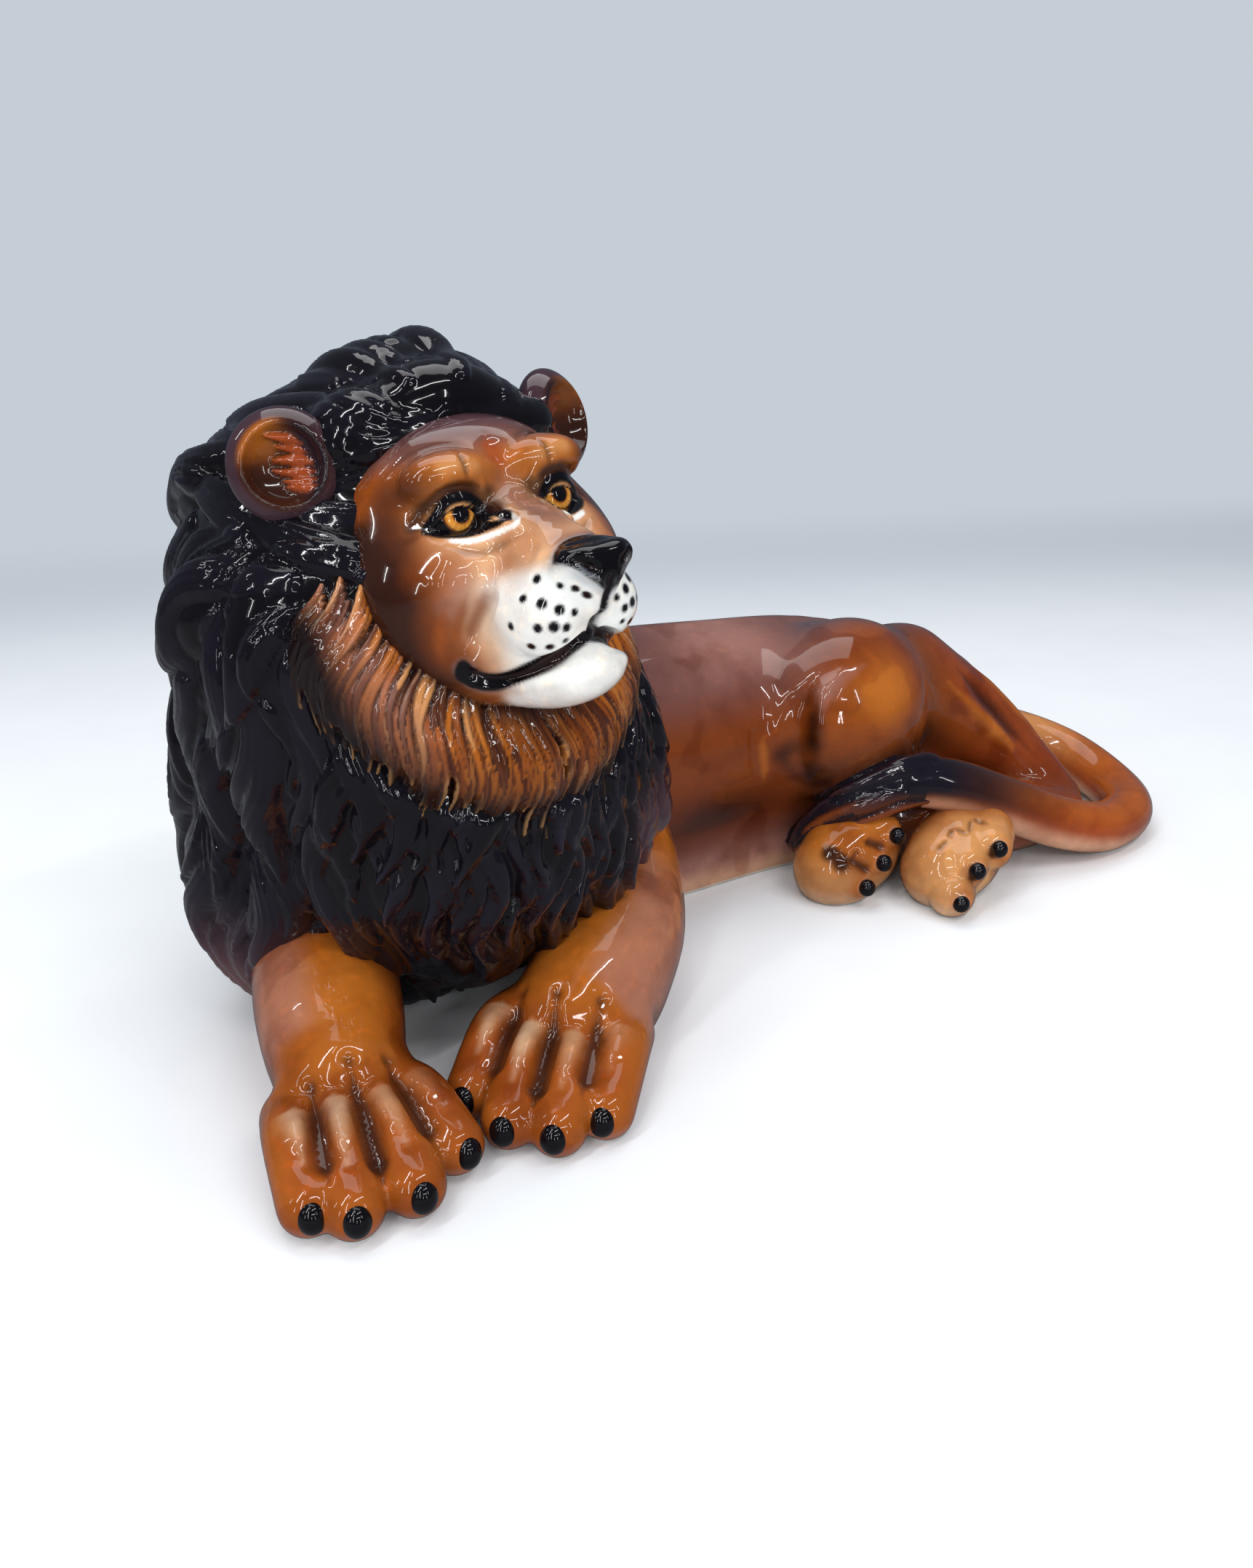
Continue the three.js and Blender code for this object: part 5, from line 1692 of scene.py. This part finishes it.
@dataclass
class Foreleg:
    """A foreleg with its four toes and black claws."""

    name: str = "right_foreleg"
    course: Course = ((-238, 56, 52), (-260, 30, 49), (-280, -10, 44), (-291, -46, 37), (-298, -76, 29))
    knuckles: Course = ((-330, -106, 22), (-313, -110, 24), (-292, -113, 24), (-273, -106, 22))
    tips: Course = ((-336, -135, 12), (-321, -147, 12), (-294, -149, 13), (-268, -133, 13))
    outer: Place = (-1.0, -0.1, 0.0)
    thickness: Radii = (46.0, 40.0, 37.0, 35.0, 29.0)
    toe_radius: float = 13.8
    sole: float = 22.0
    grain: float = 1.4

    ABOVE = np.array([0, 0, 30.0])
    TAN_TOPS = (0.65, 0.7, 0.4, 0.2)
    CREAM_TOPS = (0.35, 0.4, 0.15, 0.05)

    def bodies(self) -> list[bmesh.types.BMesh]:
        """Press the leg and each toe."""
        low = [(x, y, self.sole * 0.6) for x, y, _ in self.course[1:]]
        hand = np.array([toe[0] for toe in self.toes()])
        palm = hand.mean(0)
        leg = Clay(
            Roll(self.course, self.thickness, 12),
            Roll(low, (30, 28, 28, 22), 14),
            Roll(hand, (14, 18, 18, 14), 10),
            Lump((palm[0], palm[1], 10), (38, 28, 18), 10),
        )
        bodies = [leg.pressed([(x, y, z * 0.75) for x, y, z in self.course], 6)]
        for knots in self.toes():
            toe = Clay(Roll(knots, (self.toe_radius + 1.0, self.toe_radius + 1.5, self.toe_radius), 1, 8))
            bodies.append(toe.pressed(knots, 5))
        return bodies

    def toes(self) -> list[list[Array]]:
        """Return the root, knuckle and tip of each toe."""
        toes = []
        for knuckle, tip in zip(np.array(self.knuckles, float), np.array(self.tips, float)):
            root = knuckle + (knuckle - tip) * 0.7
            root[2] = knuckle[2] - 2.0
            toes.append([root, knuckle, tip])
        return toes

    def carve(self, skin: Skin) -> list[Array]:
        """Cut the grooves between the toes, and return them."""
        toes = self.toes()
        above = self.ABOVE
        grooves = []
        for first, second in zip(toes, toes[1:]):
            start = (first[0] + second[0]) / 2 * 0.6 + (first[1] + second[1]) / 2 * 0.4 + above
            middle = (first[1] + second[1]) / 2 * 0.5 + (first[2] + second[2]) / 2 * 0.5 + above * 0.5
            end = (first[2] + second[2]) / 2 + above * 0.1
            groove = np.array([start, middle, end])
            grooves.append(groove)
            skin.carve(groove, 9.0, -3.6, 0.25)
            skin.carve(groove[:1], 7.0, -1.4)
        for _, knuckle, tip in toes:
            skin.carve([knuckle + above, knuckle * 0.3 + tip * 0.7 + above], 8.0, 1.2, 0.3)
            skin.carve([knuckle * 0.35 + tip * 0.65 + above, knuckle * 0.2 + tip * 0.8 + above], 7.0, -0.9)
        return grooves

    def colour(self, skin: Skin, grooves: list[Array]) -> None:
        """Paint the leg amber with a pink outer side, dark grooves and light toe tops."""
        z = skin.places[:, 2]
        line = flowing(self.course)
        _, along = gap_to_course(skin.places, line)
        number = np.clip(np.rint(along * (len(line) - 1)).astype(int), 0, len(line) - 1)
        aside = (skin.places - line[number]) @ unit(self.outer)
        skin.colour[:] = (Pot.AMBER.linear + Pot.SIENNA.linear) / 2.0
        skin.coats(
            (Pot.AMBER, band(z, 40, 66) * 0.8),
            (Pot.ROSE, band(aside, 4, 20) * band(along, 0.25, 0.5) * band(along, 1.0, 0.9) * 0.55),
            (Pot.SIENNA, band(-aside, 14, 30) * 0.7),
            (Pot.SIENNA, band(z, 34, 8) * 0.6),
        )
        above = self.ABOVE
        for (root, knuckle, tip), tan, cream in zip(self.toes(), self.TAN_TOPS, self.CREAM_TOPS):
            top = [root * 0.2 + knuckle * 0.8 + above, knuckle + above, knuckle * 0.2 + tip * 0.8 + above]
            skin.line(Pot.RUST, [knuckle + above, tip + above * 0.8], 15.0, 0.5)
            skin.line(Pot.TAN, top, 14.0, tan, 0.4)
            skin.line(Pot.CREAM, top, 9.0, cream, 0.45)
            skin.line(Pot.SIENNA, [tip + above * 0.8, tip + above * 0.3], 9.0, 0.6)
        for groove in grooves:
            skin.line(Pot.SIENNA, groove, 14.0, 0.75, 0.3)
            skin.line(Pot.UMBER, groove, 9.0, 0.7, 0.3)
            skin.line(Pot.DARK_BROWN, groove, 5.0, 0.55, 0.25)
            skin.line(Pot.DARK_BROWN, groove[:1], 6.0, 0.5)
        skin.coats((Pot.ROSE, band(z, 12, 4) * 0.6), (Pot.BISQUE, band(z, 2.4, 1.2)))

    def claws(self) -> Iterable[bmesh.types.BMesh]:
        """Shape the claw at each toe's end."""
        up = np.array([0, 0, 1.0])
        for _, knuckle, tip in self.toes():
            ahead = unit((tip - knuckle) * np.array([1, 1, 0]))
            axes = np.stack([np.cross(ahead, up), -ahead, up], 1)
            yield oval(tip + ahead * (self.toe_radius - 4.5) + up, (6.6, 6.8, 8.0), axes, 28, 20)

    def build(self) -> None:
        """Build the leg and its claws."""
        skin = fused(self.bodies(), self.name, self.grain)
        skin.press = np.array([0.0, 0.0, -1.0])
        skin.sponge(7)
        grooves = self.carve(skin)
        skin.sponge(2)
        skin.stand()
        self.colour(skin, grooves)
        skin.measure_relief(16, 2.0)
        shades = {"pooling": Pot.DARK_BROWN, "pooling_strength": 0.8, "mottling": 0.8, "patches": 0.35}
        dress(skin, Glaze(self.name + "_glaze", **shades), Slot.LEG, self.name)
        black_claws(self.name + "_claws", self.claws())


@dataclass
class Forelegs:
    """Both forelegs."""

    def build(self) -> None:
        """Build the right leg, then the left one that lies behind it."""
        Foreleg().build()
        Foreleg(
            name="left_foreleg",
            course=((-92, 40, 60), (-106, -6, 50), (-132, -52, 43), (-160, -76, 37), (-184, -90, 30)),
            knuckles=((-219, -82, 26), (-214, -104, 25), (-199, -121, 24), (-176, -124, 22)),
            tips=((-243, -101, 13), (-239, -130, 13), (-222, -146, 12), (-197, -147, 12)),
            outer=(0.6, -0.8, 0.0),
        ).build()


@dataclass
class Trunk:
    """Barrel, rump, thigh and folded shank."""

    grain: float = 2.0
    ham: Course = ((165, 48, 112), (205, 32, 84), (240, 8, 54), (262, -22, 27))
    ham_radii: Radii = (40.0, 34.0, 25.0, 17.0)
    shank: Course = ((112, 24, 34), (145, 0, 34), (195, -24, 28), (255, -32, 20))
    shank_radii: Radii = (34.0, 34.0, 28.0, 18.0)
    barrel: Course = (
        (-220, 70, 96), (-150, 78, 96), (-60, 84, 95), (20, 86, 92), (95, 85, 87), (165, 84, 76),
        (225, 78, 56),
    )
    belly: Course = ((-120, 62, 17), (-30, 66, 17), (60, 66, 17), (140, 60, 17), (200, 50, 17))
    far_edge: Course = ((-150, 102, 26), (-40, 112, 23), (60, 112, 23), (150, 105, 21))
    spine: Course = ((-210, 64, 84), (-100, 76, 84), (20, 76, 78), (120, 62, 72), (200, 50, 60))

    HAM_GROOVE = ((186, 10, 128), (214, -4, 96), (240, -20, 62))
    HAM_STRING = ((206, 24, 124), (232, 10, 90), (254, -6, 58))
    CUTS = (
        # the groove in front of the haunch, its ridge and the flank's fold
        (((36, -8, 156), (22, -8, 130), (24, -8, 98), (36, -6, 68)), 13.0, -6.5, 0.25),
        (((60, -14, 160), (42, -14, 142), (38, -16, 116), (46, -14, 86)), 10.0, 4.0, 0.3),
        (((14, -8, 132), (12, -8, 100), (18, -6, 74)), 6.0, -1.6, 0.3),
        # the ham's groove and strings, the groove over the shank, and the back
        (HAM_GROOVE, 11.0, -3.4, 0.3),
        (((172, -2, 120), (200, -18, 92), (226, -30, 60)), 8.0, 2.2, 0.3),
        (HAM_STRING, 9.0, 2.2, 0.3),
        (((70, -16, 72), (120, -26, 64), (175, -38, 58)), 9.0, -3.0, 0.3),
        (((-150, 84, 172), (0, 88, 170), (160, 86, 142), (240, 84, 100)), 12.0, 1.6, 0.2),
    )
    LINES = (
        (Pot.SIENNA, ((150, -18, 130), (176, -6, 96), (196, -22, 70)), 22.0, 0.6, 0.3),
        (Pot.ROSE, ((80, -16, 160), (48, -16, 146), (40, -16, 126)), 12.0, 0.8, 0.4),
        (Pot.DARK_BROWN, ((30, -8, 138), (23, -8, 112), (30, -8, 72)), 12.0, 0.9, 0.3),
        (Pot.DARK_BROWN, ((36, -8, 92), (44, -8, 72), (60, -12, 62)), 18.0, 0.9, 0.3),
        (Pot.AMBER, ((14, -8, 116), (16, -8, 92), (22, -4, 70)), 5.0, 0.6, 0.3),
        (Pot.DARK_BROWN, ((66, -16, 70), (120, -26, 62), (175, -38, 56)), 22.0, 0.85, 0.3),
        (Pot.DARK_BROWN, HAM_GROOVE, 10.0, 0.8, 0.4),
        (Pot.ORANGE, ((172, -2, 124), (200, -18, 92), (228, -30, 58)), 9.0, 0.7, 0.4),
        (Pot.ORANGE, HAM_STRING, 8.0, 0.6, 0.4),
        (Pot.RUST, ((140, -14, 36), (200, -40, 34), (258, -44, 24)), 20.0, 0.8),
    )

    def clay(self) -> Clay:
        """Press the body together."""
        return Clay(
            Roll(self.barrel, (62, 72, 74, 72, 70, 60, 44), 20, 4),
            Roll(self.belly, (36, 36, 36, 38, 34), 22, 3),
            Roll(self.far_edge, (38, 42, 42, 40), 25, 3),
            Lump((99, 33, 107), (72, 52, 60), 12, turn_toward((0.25, -1, 0.1))),
            Roll(self.ham[:2], self.ham_radii[:2], 14, 4),
            Lump((205, 80, 70), (66, 58, 56), 22),
            Roll(self.shank[:2], self.shank_radii[:2], 16, 4),
        )

    def colour(self, skin: Skin) -> None:
        """Paint mauve back, brown flank, pale lower edge and orange haunch, with a painted highlight on the
        haunch's upper middle and painted shade on its lower half.
        """
        x, _, z = skin.places.T
        haunch = np.linalg.norm((skin.places - np.array([118, 0, 104])) / np.array([82, 60, 70]), axis=1)
        painted_haunch_highlight = np.linalg.norm((skin.places - np.array([92, -10, 132])) / np.array([58, 60, 40]), axis=1)
        skin.colour[:] = Pot.UMBER.linear * 0.65 + Pot.RUST.linear * 0.35
        skin.coats(
            (Pot.SIENNA, band(z, 60, 100) * band(z, 150, 110) * 0.4),
            (Pot.DARK_BROWN, band(z, 90, 60) * band(z, 30, 56) * band(np.abs(x + 10.0), 60, 10) * 0.75),
            (Pot.MAUVE, band(z, 112, 150) * 0.9),
            (Pot.DARK_MAUVE, band(z, 126, 165) * band(x, -10, -110) * 0.85),
            (Pot.ROSE, band(z, 132, 158) * band(np.abs(x - 18), 62, 10) * 0.7),
            (Pot.MAUVE, band(z, 52, 22) * 0.7),
            (Pot.ROSE, band(z, 36, 12) * 0.9),
            (Pot.PEACH, band(z, 20, 5) * 0.8),
            (Pot.SIENNA, band(haunch, 1.2, 0.85) * 0.9),
            # painted highlight: amber and orange over the upper middle of the haunch
            (Pot.AMBER, band(painted_haunch_highlight, 0.8, 0.25) * 0.6),
            (Pot.ORANGE, band(painted_haunch_highlight, 0.45, 0.1) * 0.35),
            # painted shade: umber over the lower half of the haunch
            (Pot.UMBER, band(haunch, 1.2, 0.8) * band(z, 118, 78) * 0.9),
            (Pot.UMBER, band(x, 128, 160) * band(z, 60, 80) * 0.5),
            (Pot.RUST, band(x, 150, 190) * 0.5),
            (Pot.UMBER, band(x, 150, 190) * band(z, 60, 36) * 0.5),
        )
        skin.lines(self.LINES)
        skin.paint(Pot.BISQUE, band(z, 3.0, 1.4))

    def build(self) -> None:
        """Build the trunk."""
        bodies = [self.clay().pressed(self.spine, 6)]
        for course, radii in ((self.ham, self.ham_radii), (self.shank, self.shank_radii)):
            bodies.append(Clay(Roll(course, radii, 1, 8)).pressed(course, 5))
        skin = fused(bodies, "trunk", self.grain)
        skin.sponge(8)
        skin.cuts(self.CUTS)
        skin.sponge(5)
        skin.stand()
        self.colour(skin)
        skin.measure_relief(20, 3.0)
        glaze = Glaze("body_glaze", pooling=Pot.DARK_BROWN, pooling_strength=0.7, mottling=0.6, patches=0.4)
        dress(skin, glaze, Slot.BODY, "trunk")


@dataclass
class Tail:
    """The tail that sweeps round the rump, and its tuft."""

    course: Course = (
        (244, 84, 54), (312, 72, 38), (338, 34, 27), (334, -14, 17), (306, -50, 16),
        (262, -64, 18), (218, -60, 30), (176, -46, 49), (135, -32, 66), (104, -22, 71),
    )
    thickness: Radii = (21, 20, 19, 18, 18, 18, 18, 18, 18, 15)
    tuft_course: Course = ((120, -26, 70), (97, -18, 69), (77, -6, 57), (65, 10, 38), (60, 24, 24))
    tuft_thickness: Radii = (19, 20, 19, 14, 8)
    hair: Lock = Lock(length=62.0, width=9.0, height=3.4, wave=0.2, ridges=1.0)
    locks: int = 30

    @staticmethod
    def swept(rope: Roll) -> bmesh.types.BMesh:
        """Sweep a ring along a rope of clay and return the closed body."""
        body = bmesh.new()
        rings = [bmesh.ops.create_circle(body, cap_ends=True, segments=40, radius=1.0)["verts"]]
        face = body.faces[:][0]
        for _ in rope.line[1:]:
            face = bmesh.ops.extrude_discrete_faces(body, faces=[face])["faces"][0]
            rings.append(list(face.verts))
        last = len(rope.line) - 1
        for number, verts in enumerate(rings):
            along = unit(rope.line[min(number + 1, last)] - rope.line[max(number - 1, 0)])
            aside = unit(np.cross(along, (0.0, 0.0, 1.0)))
            up = np.cross(aside, along)
            for vertex in verts:
                flat = vertex.co.copy()
                vertex.co = rope.line[number] + rope.radii[number] * (aside * flat.x + up * flat.y)
        bmesh.ops.recalc_face_normals(body, faces=body.faces)
        return body

    def tail(self) -> None:
        """Build the tail."""
        rope = Roll(self.course, self.thickness, 1, 7)
        ends = [oval(rope.line[end], (rope.radii[end],) * 3, np.eye(3)) for end in (0, -1)]
        skin = fused([self.swept(rope), *ends], "tail", 1.5)
        skin.sponge(4)
        skin.stand()
        _, along = gap_to_course(skin.places, rope.line)
        z = skin.places[:, 2]
        high = z - np.interp(along, np.linspace(0, 1, len(rope.line)), rope.line[:, 2])
        skin.colour[:] = Pot.RUST.linear
        skin.coats(
            (Pot.AMBER, band(high, 0, 14) * 0.4),
            (Pot.PEACH, band(high, 2, -10) * 0.8),
            (Pot.TAN, band(along, 0.34, 0.1) * band(high, -6, 10) * 0.6),
            (Pot.UMBER, band(along, 0.62, 0.84) * band(high, -6, 4)),
            (Pot.NIGHT, band(along, 0.74, 0.93) * band(high, -12, 2)),
            (Pot.BISQUE, band(z, 2.4, 1.2)),
        )
        skin.measure_relief(16, 2.0)
        dress(skin, Glaze("tail_glaze", mottling=0.6), Slot.TAIL, "tail")

    def tuft(self) -> None:
        """Build the tuft with its locks."""
        form = Clay(Roll(self.tuft_course, self.tuft_thickness, 1, 6))
        line = flowing(self.tuft_course)

        def flow(places: Array) -> Array:
            """Return the way along the tuft."""
            _, along = gap_to_course(places, line)
            number = np.clip((along * (len(line) - 1)).astype(int), 0, len(line) - 2)
            return unit_rows(line[number + 1] - line[number])

        chance = np.random.default_rng(5)
        share = chance.uniform(0.0, 0.62, self.locks)
        number = (share * (len(line) - 1)).astype(int)
        roots = line[number] + unit_rows(chance.normal(size=(self.locks, 3))) * 16.0
        skin = fused([form.pressed([line[2], line[-3]], 6, -2.0)], "tail_tuft", 1.2)
        skin.sponge(3)
        hair = Comb(form, flow, -2.0, 11).combed(skin.places.copy(), roots, self.hair)
        skin.places += skin.out(3) * hair.height[:, None]
        skin.sponge(1)
        skin.stand(0.5)
        tint = chance.random(self.locks)[hair.owner] * (hair.owner >= 0)
        low = band(skin.places[:, 2], 76, 50)
        skin.colour[:] = Pot.NIGHT.linear
        skin.coats(
            (Pot.UMBER, low * band(tint, 0.3, 0.6) * 0.9),
            (Pot.SIENNA, low * band(tint, 0.6, 0.8) * 0.9),
            (Pot.NIGHT, band(np.abs(hair.aside), 0.4, 0.9) * 0.8),
        )
        skin.measure_relief(14, 2.0)
        # painted dark mauve sheen on the ridges of the locks
        glaze = Glaze("tuft_glaze", pooling=Pot.BLACK, painted_sheen=Pot.DARK_MAUVE, painted_sheen_strength=0.8, mottling=0.3)
        dress(skin, glaze, Slot.TUFT, "tail_tuft")

    def build(self) -> None:
        """Build the tail and the tuft."""
        self.tail()
        self.tuft()


@dataclass
class HindFoot:
    """A hind paw seen from its sole side: heel, three toes and their claws."""

    name: str = "left_hind_foot"
    heel: Course = ((152, -34, 21), (132, -48, 24), (112, -56, 20))
    toes: Sequence[Course] = (
        ((152, -56, 36), (137, -72, 36)), ((130, -58, 33), (116, -72, 29)), ((114, -56, 20), (103, -75, 13)),
    )
    claw_places: Course = ((131, -85, 41), (112, -86, 31), (98, -88, 13))
    wrinkles: Course = (
        (96, -66, 40), (104, -70, 48), (112, -66, 52), (120, -70, 48), (128, -66, 55), (138, -68, 50),
    )
    dark_spots: Course = ()
    warm: float = 0.35

    def colour(self, skin: Skin, grooves: Array, ends: Array) -> None:
        """Paint the paw tan with orange toes, dark grooves and the rings round its claws."""
        z = skin.places[:, 2]
        front = skin.places @ unit((-0.5, -0.8, 0.35))
        foremost = float(front.max())
        skin.colour[:] = Pot.TAN.linear
        skin.coats(
            (Pot.SIENNA, band(front, foremost - 18.0, foremost - 44.0) * 0.75),
            (Pot.AMBER, band(z, 14, 40) * self.warm),
            (Pot.CREAM, band(z, 16, 4) * 0.5),
        )
        for end in ends:
            skin.line(Pot.SIENNA, [end], 17.0, 0.4 + 0.5 * self.warm)
            skin.line(Pot.ORANGE, [end], 11.0, 0.8)
        for claw in self.claw_places:
            skin.line(Pot.PEACH, [claw], 8.0, 0.8, 0.0, 0.4)
            skin.line(Pot.UMBER, [claw], 5.8, 0.9, 0.0, 0.4)
        for groove in grooves:
            skin.line(Pot.SIENNA, groove, 10.0, 0.7, 0.2)
            skin.line(Pot.DARK_BROWN, groove, 5.0, 0.8, 0.2)
        for wrinkle in zip(self.wrinkles, self.wrinkles[1:]):
            skin.line(Pot.UMBER, wrinkle, 3.0, 0.6, 0.3)
        for spot in self.dark_spots:
            skin.line(Pot.DARK_BROWN, [spot], 9.0, 0.95, 0.0, 0.3)
        skin.paint(Pot.BISQUE, band(z, 2.2, 1.0))

    def build(self) -> None:
        """Build the paw and its claws."""
        bodies = [Clay(Roll(self.heel, (29, 30, 26), 8)).pressed([self.heel[0], self.heel[-1]], 5)]
        bodies += [Clay(Roll(toe, (18.0, 15.0), 1)).pressed(toe, 5) for toe in self.toes]
        skin = fused(bodies, self.name, 1.2)
        skin.press = unit((0.5, 0.8, -0.35))
        skin.sponge(4)
        toes = np.array(self.toes, float)
        grooves = (toes[1:] + toes[:-1]) / 2 + np.array([0.0, -12.0, 2.0])
        ends = toes[:, 1] + np.array([0.0, -12.0, 0.0])
        skin.cuts((groove, 6.0, -3.4, 0.2) for groove in grooves)
        skin.cuts(([end], 9.0, 1.6) for end in ends)
        skin.cuts((wrinkle, 4.0, -1.2, 0.3) for wrinkle in zip(self.wrinkles, self.wrinkles[1:]))
        skin.sponge(2)
        skin.stand()
        self.colour(skin, grooves, ends)
        skin.measure_relief(14, 2.0)
        glaze = Glaze(self.name + "_glaze", pooling_strength=0.9, mottling=0.8, patches=0.35)
        dress(skin, glaze, Slot.PAW, self.name)
        claws = (oval(place, (5.4, 5.4, 5.6), np.eye(3), 28, 20) for place in self.claw_places)
        black_claws(self.name + "_claws", claws)


@dataclass
class HindFeet:
    """Both hind paws."""

    def build(self) -> None:
        """Build the near paw and the one behind it."""
        HindFoot().build()
        HindFoot(
            name="right_hind_foot",
            heel=((92, 0, 22), (76, -10, 25), (58, -14, 18)),
            toes=(
                ((80, -8, 38), (88, -22, 39)), ((66, -8, 32), (74, -26, 27)), ((56, -4, 19), (61, -26, 13)),
            ),
            claw_places=((88, -39, 43), (74, -43, 29), (61, -43, 15)),
            wrinkles=((44, -28, 40), (52, -36, 34), (58, -38, 40)),
            dark_spots=((36, -38, 42), (44, -38, 34)),
            warm=0.95,
        ).build()


def main() -> None:
    """Set up the studio, build the lion piece by piece and work out the sizes."""
    logging.basicConfig(level=logging.INFO, format="%(message)s")
    Studio().build()
    for assembly in (Trunk(), Mane(), Ruff(), Head(), Ear(), Forelegs(), HindFeet(), Tail()):
        assembly.build()
    boxes = {"cad": CAD_BOX, "visual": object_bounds()}
    sizes = {name: [[float(value) for value in corner] for corner in box] for name, box in boxes.items()}


if __name__ == "__main__":
    main()
